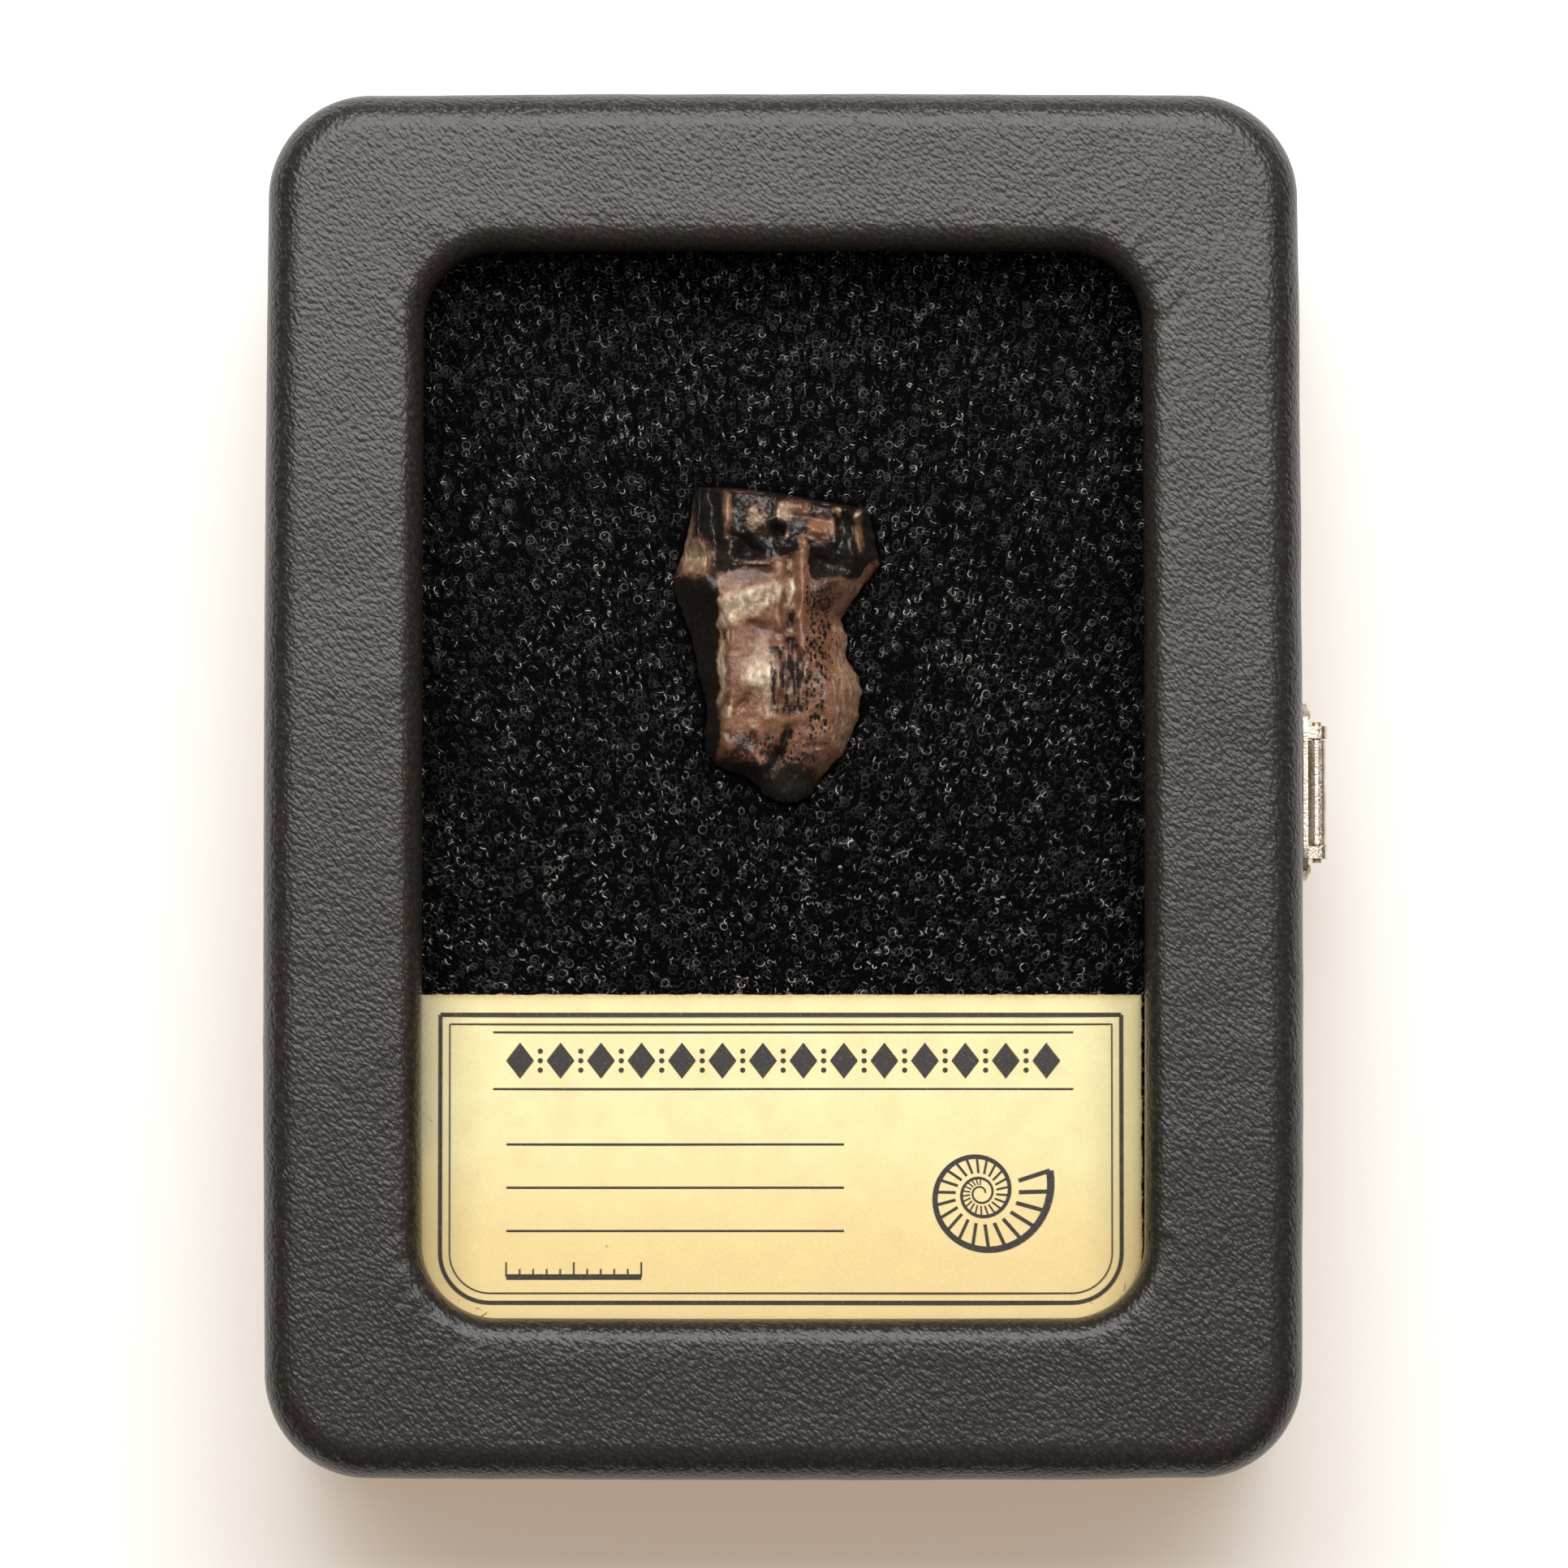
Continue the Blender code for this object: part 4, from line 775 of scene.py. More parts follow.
def fossil_finish():
    """Fossil enamel: red brown with cream, grey and rust mottling, black mineral stains and spots,
    and a waxy gloss whose roughness follows a fine noise. The cream is partly pale crystal and
    partly painted highlight, and the black is partly painted shade."""
    material, shader = new_finish("fossil enamel", Specular_IOR_Level=0.5, IOR=1.55)
    place = object_place(material)
    broad = noise(material, place, 1.1 * MM, 4.0, 0.65)
    fine = noise(material, place, 0.17 * MM, 3.0, 0.7)
    # Streaks that run along the tooth and across its band, in the cream of the crystal and of the painted
    # highlights
    cream_streaks = noise(material, stretch(material, place, (1.0, 0.45, 1.0)), 0.42 * MM, 3.0, 0.55)
    brown = ramp(material, broad, (0.30, (0.085, 0.037, 0.021)), (0.5, (0.225, 0.106, 0.061)),
                 (0.70, (0.36, 0.190, 0.113)))
    cream = ramp(material, cream_streaks, (0.34, (0.36, 0.245, 0.15)), (0.5, (0.54, 0.405, 0.26)),
                 (0.66, (0.82, 0.68, 0.49)))
    soot_and_shade = ramp(material, fine, (0.35, (0.005, 0.004, 0.003)), (0.70, (0.028, 0.021, 0.017)))
    copper = ramp(material, fine, (0.25, (0.12, 0.045, 0.022)), (0.75, (0.36, 0.158, 0.082)))

    def grainy(stain_and_painted_light, gain, grain, strength, offset):
        """An attribute's mark, stains and painted light alike, with its soft edge broken up by a noise."""
        edge = maths(material, "MULTIPLY_ADD", grain, strength, offset)
        return maths(material, "MULTIPLY_ADD", read(material, stain_and_painted_light), gain, edge)

    # Mineral spots are the cells of one pattern; chance leaves some out, fewer where it is spotted
    wandered = shift_place(material, place, 0.3 * MM, 0.3 * MM)
    cell = cells(material, stretch(material, wandered, (1.0, 0.7, 0.8)), 0.28 * MM)
    chance = add(material, "SeparateColor", {"Color": cell.outputs["Color"]}).outputs[0]
    allowed = maths(material, "MULTIPLY", read(material, "spotted"), 0.76)
    reach = maths(material, "MULTIPLY_ADD", chance, -0.55, allowed)
    spot = maths(material, "MULTIPLY", maths(material, "SUBTRACT", reach, cell.outputs["Distance"]), 9.0)
    # Black: the dark attribute, which holds stains and painted shade, broken up by noise, and the mineral
    # spots
    black = maths(material, "MAXIMUM", grainy("dark", 2.4, fine, 4.0, -2.7), spot)
    colour = mixed(material, grainy("rust", 1.3, broad, 1.0, -0.65), brown, copper)
    # Cream where the pale attribute says, which holds pale crystal and painted highlights
    colour = mixed(material, grainy("pale", 1.25, cream_streaks, 0.9, -0.70), colour, cream)
    colour = mixed(material, black, colour, soot_and_shade)
    link(material, colour, shader, "Base Color")
    link(material, ramp(material, fine, (0.3, 0.16), (0.7, 0.36)), shader, "Roughness")
    raise_grain(material, shader, maths(material, "MULTIPLY_ADD", broad, 0.8, fine), 0.06 * MM)
    return material


tooth_x, tooth_y, tooth_level = tooth_plan()
tooth_near = outline_distance(tooth_x, tooth_y, tooth_outline(step=5))
tooth_rim = np.ones(tooth_x.shape, bool)
tooth_rim[1:-1, 1:-1] = False
tooth_near[tooth_rim] = 0.0
tooth_sheets = []
for heights in (tooth_front(tooth_x, tooth_y, tooth_level, tooth_near), tooth_back(tooth_y, tooth_near)):
    heights[tooth_rim] = 0.0
    tooth_sheets.append(np.stack([tooth_x * MM, tooth_y * MM, TOOTH_RIM_Z + heights * MM], axis=-1))
tooth = join_sheets("tooth", *tooth_sheets)
tooth.data.materials.append(fossil_finish())
# The stains and the painted light are worked out at the mesh's own points, because merging the rim
# renumbered them
marking_x, marking_y, _ = (points_of(tooth) / MM).T
marking_near = outline_distance(marking_x, marking_y, tooth_outline(step=10))
for stain_and_painted_light, amount in zip(("dark", "pale", "rust", "spotted"), tooth_stains_and_painted_light(marking_x, marking_y, marking_near)):
    paint(tooth, stain_and_painted_light, amount)
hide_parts("triceratops_tooth")
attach(tooth, "base")

# Foam
# A pad of black open-cell foam that fills the tray. It was plucked out under the tooth, so it
# follows the tooth's back with a hairline gap; its top is a little uneven.
FOAM_TOP = 18.0 * MM
FOAM_GAP = 0.18
FOAM_RINGS = 84
FOAM_CELL = 0.36 * MM

foam_low, foam_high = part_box("foam_pad")


def inside_outline(x, y, outline):
    """Whether each point lies inside a closed outline: a ray to its right crosses the outline an odd
    number of times."""
    after = np.roll(outline, -1, axis=0)
    spans = (outline[:, 1] > y[..., None]) != (after[:, 1] > y[..., None])
    rise = np.where(after[:, 1] == outline[:, 1], 1e-12, after[:, 1] - outline[:, 1])
    crossing = outline[:, 0] + (y[..., None] - outline[:, 1]) / rise * (after[:, 0] - outline[:, 0])
    return (spans & (x[..., None] < crossing)).sum(axis=-1) % 2 == 1


def foam_top(points):
    """Height of the foam's top: level, with mottling, and lower where the tooth's back is."""
    x, y = points[..., 0] / MM, points[..., 1] / MM
    outline = tooth_outline(step=8)
    near = outline_distance(x, y, outline)
    inside = inside_outline(x, y, outline)
    level = FOAM_TOP + 0.05 * MM * mottle(points, 3 * MM, 81)
    # The foam sinks a little towards the tooth that presses on it
    level = level - 0.12 * MM * np.exp(-near / 0.8)
    under = TOOTH_RIM_Z + (tooth_back(y, near) - FOAM_GAP) * MM
    return np.where(inside, np.minimum(level, under), level)


def foam_profile():
    """The pad's cut shape from the middle of its underside, out, up the wall and in over the top."""
    core = np.array([foam_high.x, foam_high.y]) - CASE_CORNER + BOARD
    rim = (*core, CASE_CORNER - BOARD)
    shares = np.linspace(1, 0, FOAM_RINGS)[:, None]
    top = np.array([(*rim, 0)]) * shares + (0, 0, 0, FOAM_TOP)
    low = foam_low.z
    wall = straight_rows((*rim, low), (*rim, FOAM_TOP), 5)
    return np.concatenate([[(0, 0, 0, low), (*rim, low)], wall, top])


def foam_finish():
    """Black open-cell foam: cells of a third of a millimetre, greyer on the walls and darker within, as
    painted shade in the cells.
    """
    material, shader = new_finish("black foam", Roughness=0.95, Specular_IOR_Level=0.03)
    walls = cells(material, object_place(material), FOAM_CELL, "DISTANCE_TO_EDGE").outputs["Distance"]
    # Painted shade: the colour is darker within each cell than at its walls
    colour = ramp(material, walls, (0.0, (0.004, 0.004, 0.004)), (0.14, (0.001, 0.001, 0.001)))
    link(material, colour, shader, "Base Color")
    raise_grain(material, shader, ramp(material, walls, (0.0, 1.0), (0.25, 0.0)), 0.05 * MM)
    return material


foam_way = way_round(250, 150, 22)
foam_points = carry_round(foam_way, foam_profile())
on_top = slice(foam_points.shape[1] - FOAM_RINGS, None)
foam_points[:, on_top, 2] = foam_top(foam_points[:, on_top, :2])
foam = lay_skin("foam", foam_points)
foam.data.materials.append(foam_finish())
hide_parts("foam_pad")
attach(foam, "base")

# Foam struts
# The thin walls and threads between the foam's cells, cut open along its top. Each is a short dash,
# an arc or a small ring of three-sided thread, and some of them are coloured pale as painted glints.
STRUT_RADIUS, THREAD_SIDES = 0.044 * MM, 3
CARD_HALF_X, CARD_LOW_Y, CARD_HIGH_Y = 26.9 * MM, -39.6 * MM, -15.3 * MM
WINDOW_MARGIN = 1.2 * MM
CLEAR_OF_TOOTH = 0.25
FOAM_EDGE, FOAM_CORNER = 0.6 * MM, 4.0 * MM


def sweep_threads(paths, radius, closed=False):
    """Closed thin tubes along many paths at once. Each path's points get a ring of corners, turned
    about its direction; rings are joined by quads, and the ends are filled or joined up."""
    count, steps = paths.shape[:2]
    if closed:
        along = np.roll(paths, -1, axis=1) - np.roll(paths, 1, axis=1)
    else:
        along = np.gradient(paths, axis=1)
    along /= np.maximum(np.linalg.norm(along, axis=-1, keepdims=True), 1e-12)
    side = np.cross(along, (0.0, 0.0, 1.0))
    side /= np.maximum(np.linalg.norm(side, axis=-1, keepdims=True), 1e-12)
    over = np.cross(side, along)
    turn = np.arange(THREAD_SIDES) * 2 * math.pi / THREAD_SIDES + math.pi / 2
    thick = np.broadcast_to(np.asarray(radius, float), (count, steps))[..., None, None]
    rings = paths[:, :, None] + thick * (
        np.cos(turn)[:, None] * side[:, :, None] + np.sin(turn)[:, None] * over[:, :, None])
    index = np.arange(count * steps * THREAD_SIDES).reshape(count, steps, THREAD_SIDES)
    after = np.roll(index, -1, axis=1) if closed else index[:, 1:]
    start = index if closed else index[:, :-1]
    by_start, by_after = np.roll(start, -1, axis=2), np.roll(after, -1, axis=2)
    faces = np.stack([start, by_start, by_after, after], axis=-1).reshape(-1, 4).tolist()
    if not closed:
        faces += np.concatenate([index[:, 0, ::-1], index[:, -1]]).tolist()
    return rings.reshape(-1, 3), faces


def threads_object(name, points, faces, painted_glints=None):
    """An object from swept threads; its attribute of painted glints is one value for each point."""
    piece = new_piece(name, points, faces)
    piece.data.shade_smooth()
    if painted_glints is not None:
        paint(piece, "painted_glint", painted_glints)
    return piece


def scatter_on_foam(count, seed, in_window):
    """Random places on the foam's top beside card and tooth, either in a block as wide as the
    window or in the border around it."""
    random = np.random.default_rng(seed)
    low = np.array([-WINDOW_HALF[0] - WINDOW_MARGIN, CARD_HIGH_Y])
    high = np.array([WINDOW_HALF[0] + WINDOW_MARGIN, WINDOW_HALF[1] + WINDOW_SHIFT + WINDOW_MARGIN])
    foam_half = np.array([foam_high.x, foam_high.y]) - FOAM_EDGE
    span = (low, high) if in_window else (-foam_half, foam_half)
    places = span[0] + (span[1] - span[0]) * random.random((count, 2))
    x, y = places[:, 0] / MM, places[:, 1] / MM
    if in_window:
        outline = tooth_outline(step=24)
        clear = ~inside_outline(x, y, outline) & (outline_distance(x, y, outline) > CLEAR_OF_TOOTH)
    else:
        in_block = ((places > low) & (places < high)).all(axis=1)
        on_card = (places[:, 1] < CARD_HIGH_Y) & (places[:, 1] > CARD_LOW_Y)
        on_card &= abs(places[:, 0]) < CARD_HALF_X
        past_corner = np.maximum(abs(places) - foam_half + FOAM_CORNER, 0)
        clear = ~in_block & ~on_card & (np.hypot(*past_corner.T) < FOAM_CORNER)
    return places[clear], random


def strut_finish():
    """The same foam, with threads coloured greyer, up to near white, where the attribute of painted glints
    is high.
    """
    material, shader = new_finish("foam threads", Roughness=0.5, Specular_IOR_Level=0.5)
    # Painted glints: the threads' colour runs from black to near white with their attribute
    grey = ramp(material, read(material, "painted_glint"), (0.0, (0.002, 0.002, 0.002)), (1.0, (0.95, 0.88, 0.82)))
    link(material, grey, shader, "Base Color")
    return material


def lay_struts(name, count, seed, steps, spread, sweep_angle, gleam, closed=False, in_window=True):
    """Threads on the foam: each is an arc of the given angle and random size, turned at random, and
    lies on the foam's top with one end a little higher than the other."""
    places, random = scatter_on_foam(count, seed, in_window)
    kept = len(places)
    turn = random.random((kept, 1)) * 2 * math.pi
    size = (spread[0] + (spread[1] - spread[0]) * random.random((kept, 1))) * MM
    bend = sweep_angle[0] + (sweep_angle[1] - sweep_angle[0]) * random.random((kept, 1))
    share = np.linspace(-0.5, 0.5, steps, endpoint=not closed)[None, :]
    # An arc with this length and this angle has a radius of length over angle
    curve = size / bend
    x = curve * np.sin(bend * share)
    y = curve * (1 - np.cos(bend * share)) * (0.75 + 0.4 * random.random((kept, 1)))
    path_x = places[:, :1] + x * np.cos(turn) - y * np.sin(turn)
    path_y = places[:, 1:] + x * np.sin(turn) + y * np.cos(turn)
    lean = 0.10 * MM * (random.random((kept, 1)) - 0.3) * (share + 0.5)
    ground = foam_top(places)[:, None] if in_window else FOAM_TOP
    path_z = ground + STRUT_RADIUS * 0.5 + np.maximum(lean, -STRUT_RADIUS)
    paths = np.stack([path_x, path_y, path_z], axis=-1)
    thick = STRUT_RADIUS * (0.6 + 0.7 * random.random((kept, 1)))
    bright = 0.005 + 0.995 * random.random((kept, 1)) ** 9
    patchy = 0.85 + 0.3 * mottle(places, 4 * MM, 83)[:, None]
    # Painted glint: each thread is coloured lighter along a part of its length, where it would catch the
    # light
    lit = 0.22 + 0.78 * np.cos(math.pi * (share + random.random((kept, 1)))) ** 2
    painted_glint = np.repeat(np.clip(gleam * bright * patchy * lit, 0, 1), THREAD_SIDES)
    return threads_object(name, *sweep_threads(paths, thick, closed), painted_glint)


threads = strut_finish()
# The border's places are drawn over the whole pad and most are left out, so it needs more of them
for suffix, more, in_window in (("", 1.0, True), ("_border", 1.7, False)):
    for kind, count, seed, steps, spread, sweep_angle, gleam in (
            ("foam_dashes", 13500, 91, 3, (0.12, 0.45), (0.2, 0.9), 1.9),
            ("foam_arcs", 5200, 92, 6, (0.45, 0.95), (2.2, 4.8), 1.9),
            ("foam_rings", 2900, 93, 8, (1.1, 2.1), (2 * math.pi - 0.01, 2 * math.pi), 0.45)):
        struts = lay_struts(kind + suffix, int(count * more), seed, steps, spread, sweep_angle, gleam,
                            closed=kind == "foam_rings", in_window=in_window)
        struts.data.materials.append(threads)
        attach(struts, "base")

# Card
# A cream card cut to the window's width with its two low corners rounded. Its edges are browned
# and a little ragged, and it lies loose on the foam.
card_low, card_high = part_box("label_card")
CARD_CORNER = 5.2 * MM
CARD_COLUMNS, CARD_ROWS = 260, 130
CARD_CURL = 0.12 * MM


def card_curl(x, y):
    """How far the card has lifted: the curl times the sum of the sixth power of the share of the way
    to its side and a broad mottling."""
    return CARD_CURL * (abs(x / card_high.x) ** 6 + 0.3 * mottle(np.stack([x, y], -1), 12 * MM, 102))


def card_sheet(height):
    """The card as a grid: columns run left to right, closer at the ends; in each, the low end
    follows the round corner, which rises with the root of the corner radius squared less the
    distance into it squared."""
    share = 0.5 - 0.5 * np.cos(math.pi * np.linspace(0, 1, CARD_COLUMNS))[:, None]
    x = card_low.x + (card_high.x - card_low.x) * share
    into = np.clip(CARD_CORNER - np.minimum(x - card_low.x, card_high.x - x), 0, CARD_CORNER)
    foot = card_low.y + CARD_CORNER - np.sqrt(CARD_CORNER**2 - into**2)
    part = np.linspace(0, 1, CARD_ROWS)[None, :]
    y = foot + (card_high.y - foot) * part
    x = np.broadcast_to(x, y.shape)
    # The cut is ragged by a few hundredths of a millimetre
    edge = 0.06 * MM * mottle(np.stack([x, y], -1), 0.5 * MM, 101)
    at_sides, at_ends = [1 - smooth(0, 0.03, np.minimum(grid, 1 - grid)) for grid in (share, part)]
    x, y = x + edge * at_sides, y + edge * at_ends
    return np.stack([x, y, height + card_curl(x, y)], axis=-1)


def card_finish():
    """Cream card: fine paper mottling, warmer towards the low end, browned along the cut edges, a
    grey bloom at the left and a few brown specks."""
    material, shader = new_finish("cream card", Roughness=0.85, Specular_IOR_Level=0.2)
    place = object_place(material)
    paper = noise(material, place, 0.22 * MM, 3.0, 0.7)
    cloud = noise(material, place, 2.4 * MM, 3.0, 0.55)
    light = mixed(material, read(material, "warm"), (1.0, 0.90, 0.49, 1), (0.97, 0.76, 0.36, 1))
    patches = maths(material, "MULTIPLY", ramp(material, cloud, (0.35, 0.0), (0.75, 1.0)), 0.36)
    clouded = mixed(material, patches, light, (0.84, 0.64, 0.31, 1))
    shade = ramp(material, paper, (0.25, 0.93), (0.6, 1.0))
    rough = maths(material, "MULTIPLY_ADD", paper, 1.6, -0.1)
    browned = maths(material, "MULTIPLY", read(material, "rim"), rough)
    greyed = maths(material, "MULTIPLY", read(material, "bloom"), paper)
    speck = ramp(material, cells(material, place, 5.5 * MM).outputs["Distance"], (0.018, 0.8), (0.03, 0.0))
    colour = mixed(material, 1.0, clouded, shade, "MULTIPLY")
    colour = mixed(material, browned, colour, (0.30, 0.13, 0.05, 1))
    colour = mixed(material, greyed, colour, (0.42, 0.38, 0.33, 1))
    colour = mixed(material, speck, colour, (0.30, 0.16, 0.07, 1))
    link(material, colour, shader, "Base Color")
    raise_grain(material, shader, paper, 0.02 * MM)
    return material


card = join_sheets("card", card_sheet(card_high.z), card_sheet(card_low.z))
card.data.materials.append(card_finish())
card_x, card_y, _ = points_of(card).T
into_card = np.minimum.reduce([card_x - card_low.x, card_high.x - card_x,
                               card_high.y - card_y, card_y - card_low.y])
corner_x = abs(card_x - (card_low.x + card_high.x) / 2) - (card_high.x - card_low.x) / 2 + CARD_CORNER
corner_y = card_low.y + CARD_CORNER - card_y
from_corner = CARD_CORNER - np.hypot(np.maximum(corner_x, 0), np.maximum(corner_y, 0))
into_card = np.where((corner_x > 0) & (corner_y > 0), from_corner, into_card)
paint(card, "rim", np.exp(-np.maximum(into_card, 0) / (0.22 * MM)))
paint(card, "warm", smooth(card_high.y - 8 * MM, card_low.y + 4 * MM, card_y))
paint(card, "bloom", 0.8 * smooth(card_low.x + 2.2 * MM, card_low.x, card_x)
      * smooth(card_low.y + 10 * MM, card_low.y + 15 * MM, card_y))
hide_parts("label_card")
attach(card, "base")

# Card's print
# Dark ink on the card: a plain border, a band of ornament, blank ruled lines with a scale bar and
# a coiled shell. All of it is generic and carries no words. The ink lies in a film on the paper.
INK_LOW, INK_HIGH = -0.02 * MM, 0.02 * MM
SHELL_GROWTH = 0.14


def draw_stroke(x, y, width):
    """A flat bar of ink along a path, closed all round: four corners at each point, half the width
    to either side of it, on the paper and a film higher."""
    path = np.stack([np.asarray(x, float), np.asarray(y, float)], axis=-1) * MM
    along = np.gradient(path, axis=0)
    along /= np.maximum(np.linalg.norm(along, axis=-1, keepdims=True), 1e-12)
    side = np.stack([-along[:, 1], along[:, 0]], axis=-1)
    half = np.broadcast_to(np.asarray(width, float) * MM / 2, (len(path),))[:, None]
    height = card_high.z + card_curl(path[:, 0], path[:, 1])[:, None]
    corners = [np.concatenate([path + sign * half * side, height + lift], axis=1)
               for sign, lift in ((1, INK_LOW), (1, INK_HIGH), (-1, INK_HIGH), (-1, INK_LOW))]
    rings = np.stack(corners, axis=1)
    index = np.arange(len(path) * 4).reshape(-1, 4)
    beside = np.roll(index, -1, axis=1)
    quads = np.stack([index[:-1], beside[:-1], beside[1:], index[1:]], axis=-1)
    return rings.reshape(-1, 3), np.concatenate([quads.reshape(-1, 4), index[:1, ::-1], index[-1:]])


def round_dot(x, y, radius):
    """A dot, as a short stroke whose width follows a circle."""
    along = -np.cos(np.linspace(0.12, math.pi - 0.12, 9))
    return draw_stroke(x + radius * along, np.full(9, y), 2 * radius * np.sqrt(1 - along**2))


def lozenge(x, y, half_x, half_y):
    """A lozenge, as a stroke that widens evenly to its middle and narrows again."""
    along, width = np.array([-0.96, 0, 0.96]) * half_x, np.array([0.08, 2, 0.08]) * half_y
    return draw_stroke(x + along, np.full(3, y), width)


def ink_border():
    """A thick and a thin line round the card, with round low corners."""
    strokes = []
    for inset, width in ((1.5, 0.32), (2.2, 0.13)):
        left, right = card_low.x / MM + inset, card_high.x / MM - inset
        low, high = card_low.y / MM + inset, card_high.y / MM - inset
        corner = CARD_CORNER / MM - inset
        turn = np.linspace(0, math.pi / 2, 14)
        strokes.append(draw_stroke([left, right], [high, high], width))
        cosine, sine = corner * np.cos(turn), corner * np.sin(turn)
        x = np.concatenate([[left], left + corner - cosine, right - corner + sine, [right]])
        y = np.concatenate([[high], low + corner - sine, low + corner - cosine, [high]])
        strokes.append(draw_stroke(x, y, width))
    return strokes


def ink_band(y):
    """A band of ornament: lozenges with dots between them and a fine line above and below."""
    places = np.linspace(-19.5, 19.5, 14)
    strokes = [lozenge(x, y, 1.05, 1.35) for x in places]
    strokes += [round_dot(x + 1.5, y + lift, 0.2) for x in places[:-1] for lift in (0.7, 0, -0.7)]
    return strokes + [draw_stroke([-21.5, 21.5], [y + rise, y + rise], 0.16) for rise in (2.1, -2.1)]


def ink_shell(x, y, reach):
    """A coiled shell: a spiral whose distance from its middle grows by the same share each turn,
    with short ribs across the outer turns."""
    turn = np.linspace(0, 6.1 * math.pi, 170)
    growth = reach * np.exp(SHELL_GROWTH * (turn - turn[-1]))
    strokes = [draw_stroke(x + growth * np.cos(turn), y + growth * np.sin(turn), 0.10 + 0.09 * growth)]
    for angle in np.linspace(2.5 * math.pi, turn[-1], 40):
        outer = reach * math.exp(SHELL_GROWTH * (angle - turn[-1]))
        rib = np.array([0.55, 1.0]) * outer
        x_ends, y_ends = x + rib * math.cos(angle), y + rib * math.sin(angle)
        strokes.append(draw_stroke(x_ends, y_ends, 0.05 + 0.05 * outer))
    return strokes


def ink_lines(left, right, tops, bar_y):
    """Blank ruled lines, and a scale bar with ticks below them."""
    strokes = [draw_stroke([left, right], [top, top], 0.17) for top in tops]
    strokes.append(draw_stroke([left, left + 10.0], [bar_y, bar_y], 0.42))
    for step in range(11):
        tall = 1.1 if step % 5 == 0 else 0.6
        strokes.append(draw_stroke([left + step] * 2, [bar_y, bar_y + tall], 0.14))
    return strokes


def ink_finish():
    """Black ink that has let the paper's grain through here and there."""
    material, shader = new_finish("printing ink", Roughness=0.6)
    worn = noise(material, object_place(material), 0.16 * MM, 2.0, 0.7)
    link(material, ramp(material, worn, (0.3, (0.018, 0.015, 0.013)), (0.62, (0.040, 0.035, 0.030)),
                        (0.72, (0.20, 0.16, 0.10))), shader, "Base Color")
    return material


def merge_strokes(name, strokes):
    """All strokes in one mesh, each with its own points."""
    counts = np.cumsum([0] + [len(points) for points, _ in strokes])
    points = np.concatenate([points for points, _ in strokes])
    faces = np.concatenate([faces + start for (_, faces), start in zip(strokes, counts)])
    return new_piece(name, points, faces.tolist())


print_on_card = merge_strokes("card_print", ink_border() + ink_band(-20.2) + ink_shell(14.6, -30.0, 5.4)
                              + ink_lines(-20.5, 4.5, (-26.4, -29.6, -32.8), -36.2))
print_on_card.data.materials.append(ink_finish())
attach(print_on_card, "base")

# Card's fibres
# Fine hairs that stand out from the card's cut edges, and two tufts at its left edge.
FIBRE_RADIUS = 0.028 * MM


def edge_fibres(count, seed, start, end, out, length):
    """Hairs along a straight stretch of edge: each leaves it outwards, bends and curls up a little."""
    random = np.random.default_rng(seed)
    share = random.random((count, 1))
    root = np.asarray(start) * (1 - share) + np.asarray(end) * share
    turn = math.atan2(out[1], out[0]) + random.normal(0, 0.8, (count, 1))
    part = np.linspace(0, 1, 6)[None, :]
    reach = length * random.random((count, 1)) * part
    bend = random.normal(0, 1.1, (count, 1)) * part
    x = root[:, :1] + reach * np.cos(turn + bend)
    y = root[:, 1:2] + reach * np.sin(turn + bend)
    z = (card_high.z - 0.06 * MM) / MM + 0.25 * reach * random.random((count, 1))
    return np.stack([x, y, z], axis=-1) * MM


left_x, right_x = card_low.x / MM, card_high.x / MM
fibre_paths = np.concatenate([
    edge_fibres(70, 111, (left_x + 0.1, -27.2), (left_x + 0.1, -24.0), (-1, 0.2), 1.3),
    edge_fibres(40, 112, (left_x + 3.2, -38.6), (left_x + 5.6, -39.4), (-0.2, -1), 1.4),
    edge_fibres(60, 113, (right_x - 4.2, -39.0), (right_x - 0.6, -36.4), (0.6, -0.8), 1.0),
    edge_fibres(70, 114, (left_x, -38.0), (left_x, -15.5), (-1, 0), 0.5),
    edge_fibres(70, 115, (right_x, -38.0), (right_x, -15.5), (1, 0), 0.5),
    edge_fibres(60, 116, (left_x + 1, -15.3), (right_x - 1, -15.3), (0, 1), 0.45),
])
card_fibres = threads_object("card_fibres", *sweep_threads(fibre_paths, FIBRE_RADIUS))
fibre_finish, fibre_shader = new_finish("card fibres", Roughness=0.8)
fibre_tone = noise(fibre_finish, object_place(fibre_finish), 0.9 * MM)
link(fibre_finish, ramp(fibre_finish, fibre_tone, (0.4, (0.07, 0.045, 0.03)), (0.6, (0.45, 0.33, 0.20))),
     fibre_shader, "Base Color")
card_fibres.data.materials.append(fibre_finish)
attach(card_fibres, "base")

# Hinge and latch
# Stamped steel with a nickel plate that has gone yellow and grainy with age. The hinge is leaves
# with rolled knuckles on a wire; the latch is a flap on a pin that snaps over a bead.
def metal_finish(name, bright, dull, grain):
    """Old plated metal: two tones that mingle, a grainy surface and duller spots."""
    material, shader = new_finish(name, Metallic=1.0)
    place = object_place(material)
    fine = noise(material, place, grain, 3.0, 0.6)
    broad = noise(material, place, 1.4 * MM, 2.0)
    mingled = maths(material, "MULTIPLY_ADD", broad, 0.6, maths(material, "MULTIPLY", fine, 0.4))
    link(material, ramp(material, mingled, (0.35, dull), (0.62, bright)), shader, "Base Color")
    link(material, ramp(material, fine, (0.3, 0.24), (0.75, 0.46)), shader, "Roughness")
    raise_grain(material, shader, fine, 0.05 * MM)
    return material


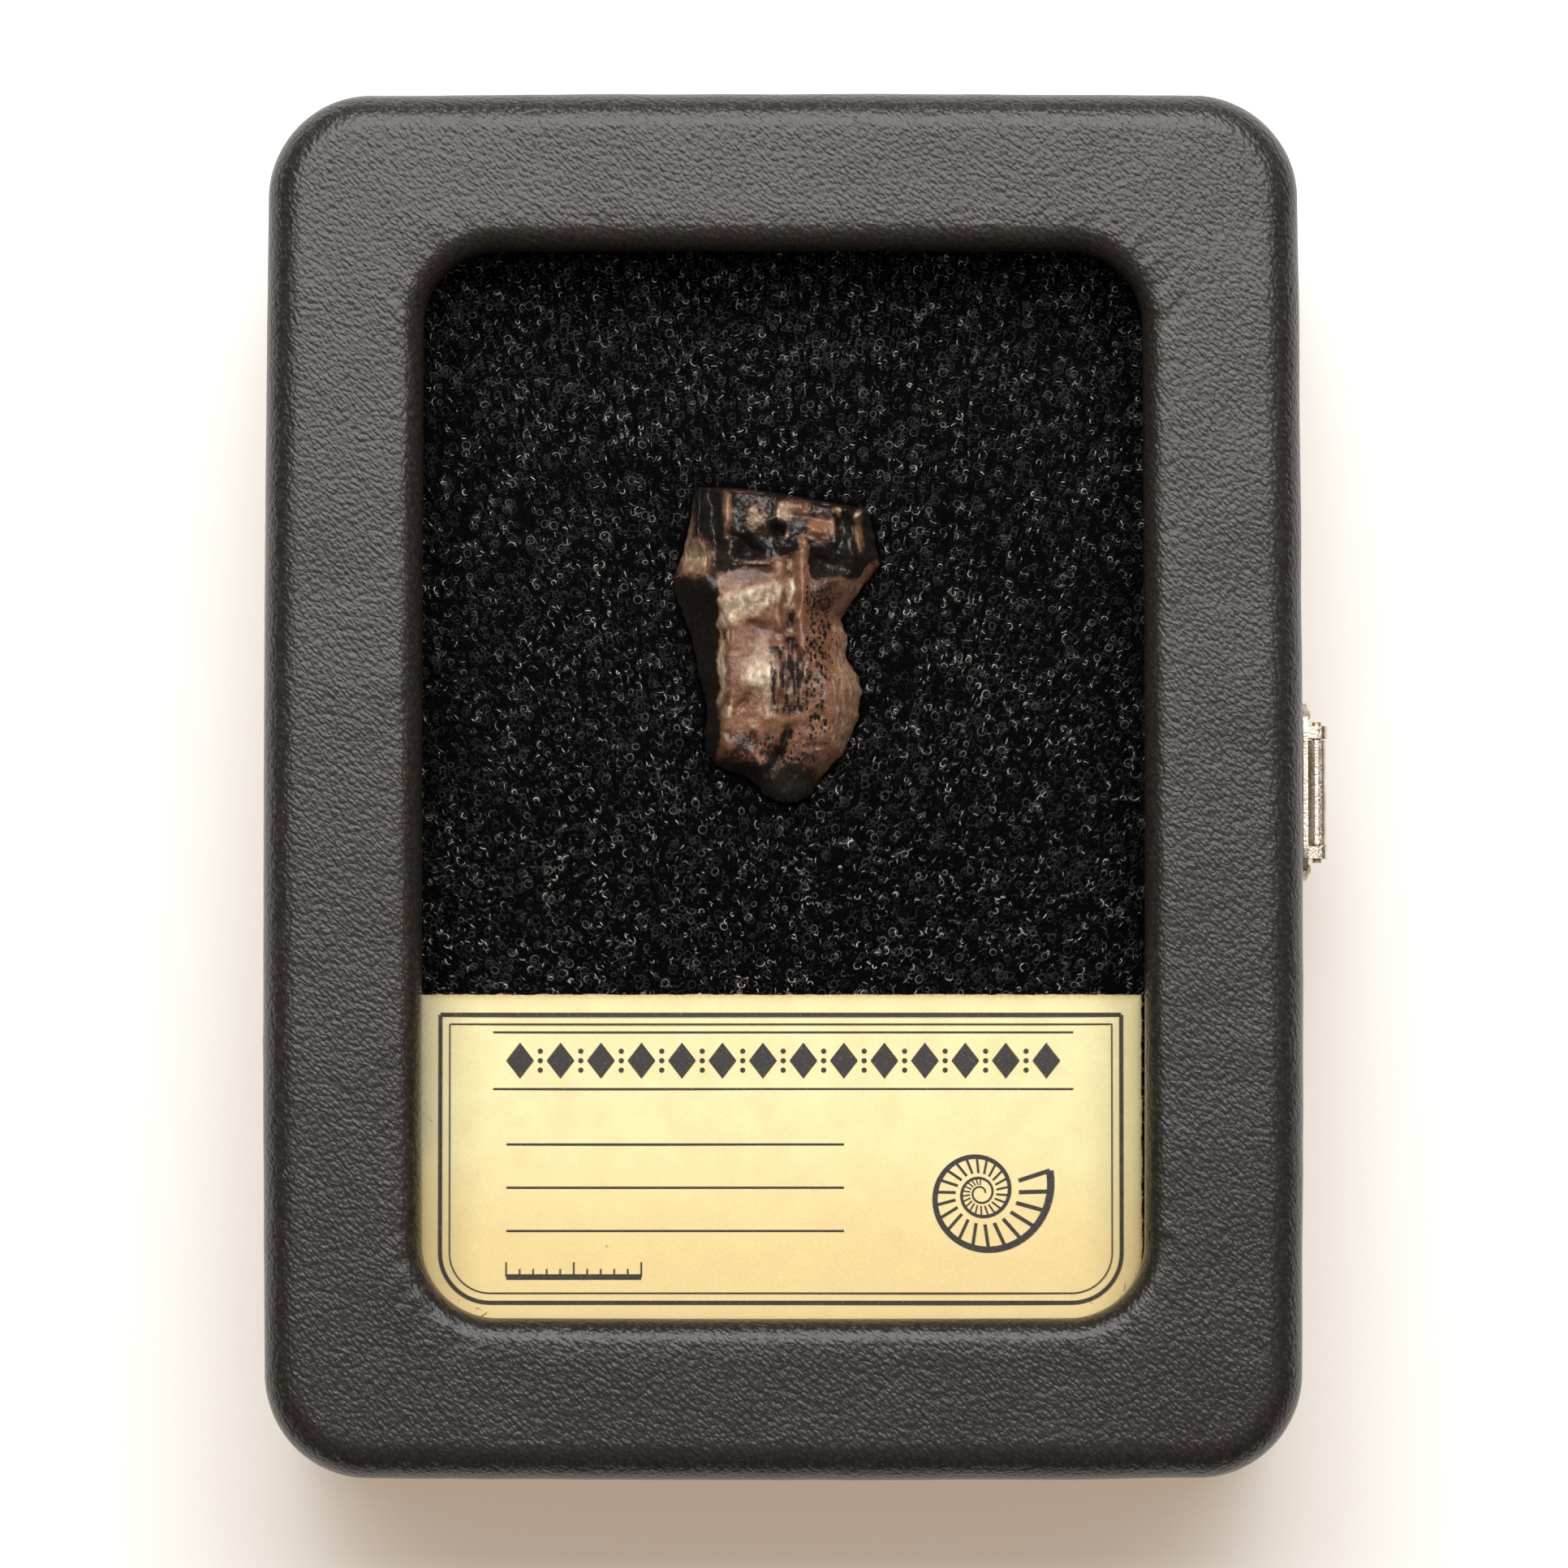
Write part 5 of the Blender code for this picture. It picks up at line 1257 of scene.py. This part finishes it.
nickel = metal_finish("aged nickel", (0.78, 0.72, 0.64), (0.50, 0.41, 0.31), 0.20 * MM)
brassy = metal_finish("worn nickel on brass", (0.72, 0.58, 0.36), (0.48, 0.36, 0.21), 0.16 * MM)
nickel_nodes = ("hinge_leaf_tray", "hinge_leaf_lid", "catch_plate", "latch_plate", "latch_flap")
brassy_nodes = ("hinge_pin", "hinge_tack_tray_1", "hinge_tack_tray_2", "hinge_tack_lid_1",
                "hinge_tack_lid_2", "catch_nail_1", "catch_nail_2", "latch_pin", "latch_nail_1",
                "latch_nail_2")
for metal, names in ((nickel, nickel_nodes), (brassy, brassy_nodes)):
    for name in names:
        refinish(name, metal)

# Stage
# A pale table that glows a little and warm, as painted light that lifts the shadows on it, a dim warm room,
# and one large softbox beyond the far end.
# The table lies a hair under the case's foot, so that the two never share a face.
FLOOR_HALF, FLOOR_Z = 1.2, -0.02 * MM
SOFTBOX_Z, SOFTBOX_Y, SOFTBOX_SIZE = 0.50, 0.4135, (0.55, 0.673)
SOFTBOX_RADIANCE = 5.5

floor_corners = np.array([(-1, -1), (1, -1), (1, 1), (-1, 1)]) * FLOOR_HALF
table = new_piece("table", np.column_stack([floor_corners, np.full(4, FLOOR_Z)]), [(0, 1, 2, 3)])
# Painted light: the table glows warm, so the shadows on it are lighter and warmer; its bluish colour keeps
# the lit table white
table_finish, _ = new_finish("pale table", Base_Color=(0.83, 0.88, 0.91, 1), Roughness=0.95,
                             Specular_IOR_Level=0.0, Emission_Color=(0.335, 0.245, 0.165, 1),
                             Emission_Strength=1.0)
table.data.materials.append(table_finish)

room = bpy.data.worlds.new("room")
bpy.context.scene.world = room
room.use_nodes = True
sky = room.node_tree.nodes["Background"]
direction = room.node_tree.nodes.new("ShaderNodeTexCoord")
split = room.node_tree.nodes.new("ShaderNodeSeparateXYZ")
tone = room.node_tree.nodes.new("ShaderNodeValToRGB")
room.node_tree.links.new(direction.outputs["Generated"], split.inputs[0])
room.node_tree.links.new(split.outputs["Z"], tone.inputs["Fac"])
room.node_tree.links.new(tone.outputs["Color"], sky.inputs["Color"])
tone.color_ramp.elements[0].position, tone.color_ramp.elements[0].color = 0.30, (0.020, 0.018, 0.017, 1)
tone.color_ramp.elements[1].position, tone.color_ramp.elements[1].color = 0.88, (0.30, 0.28, 0.26, 1)

softbox_light = bpy.data.lights.new("softbox", "AREA")
softbox_light.shape = "RECTANGLE"
softbox_light.size, softbox_light.size_y = SOFTBOX_SIZE
softbox_light.energy = SOFTBOX_RADIANCE * math.pi * SOFTBOX_SIZE[0] * SOFTBOX_SIZE[1]
softbox = bpy.data.objects.new("softbox", softbox_light)
softbox.location = (0, SOFTBOX_Y, SOFTBOX_Z)
bpy.context.scene.collection.objects.link(softbox)

bpy.context.scene.view_settings.view_transform = "Standard"
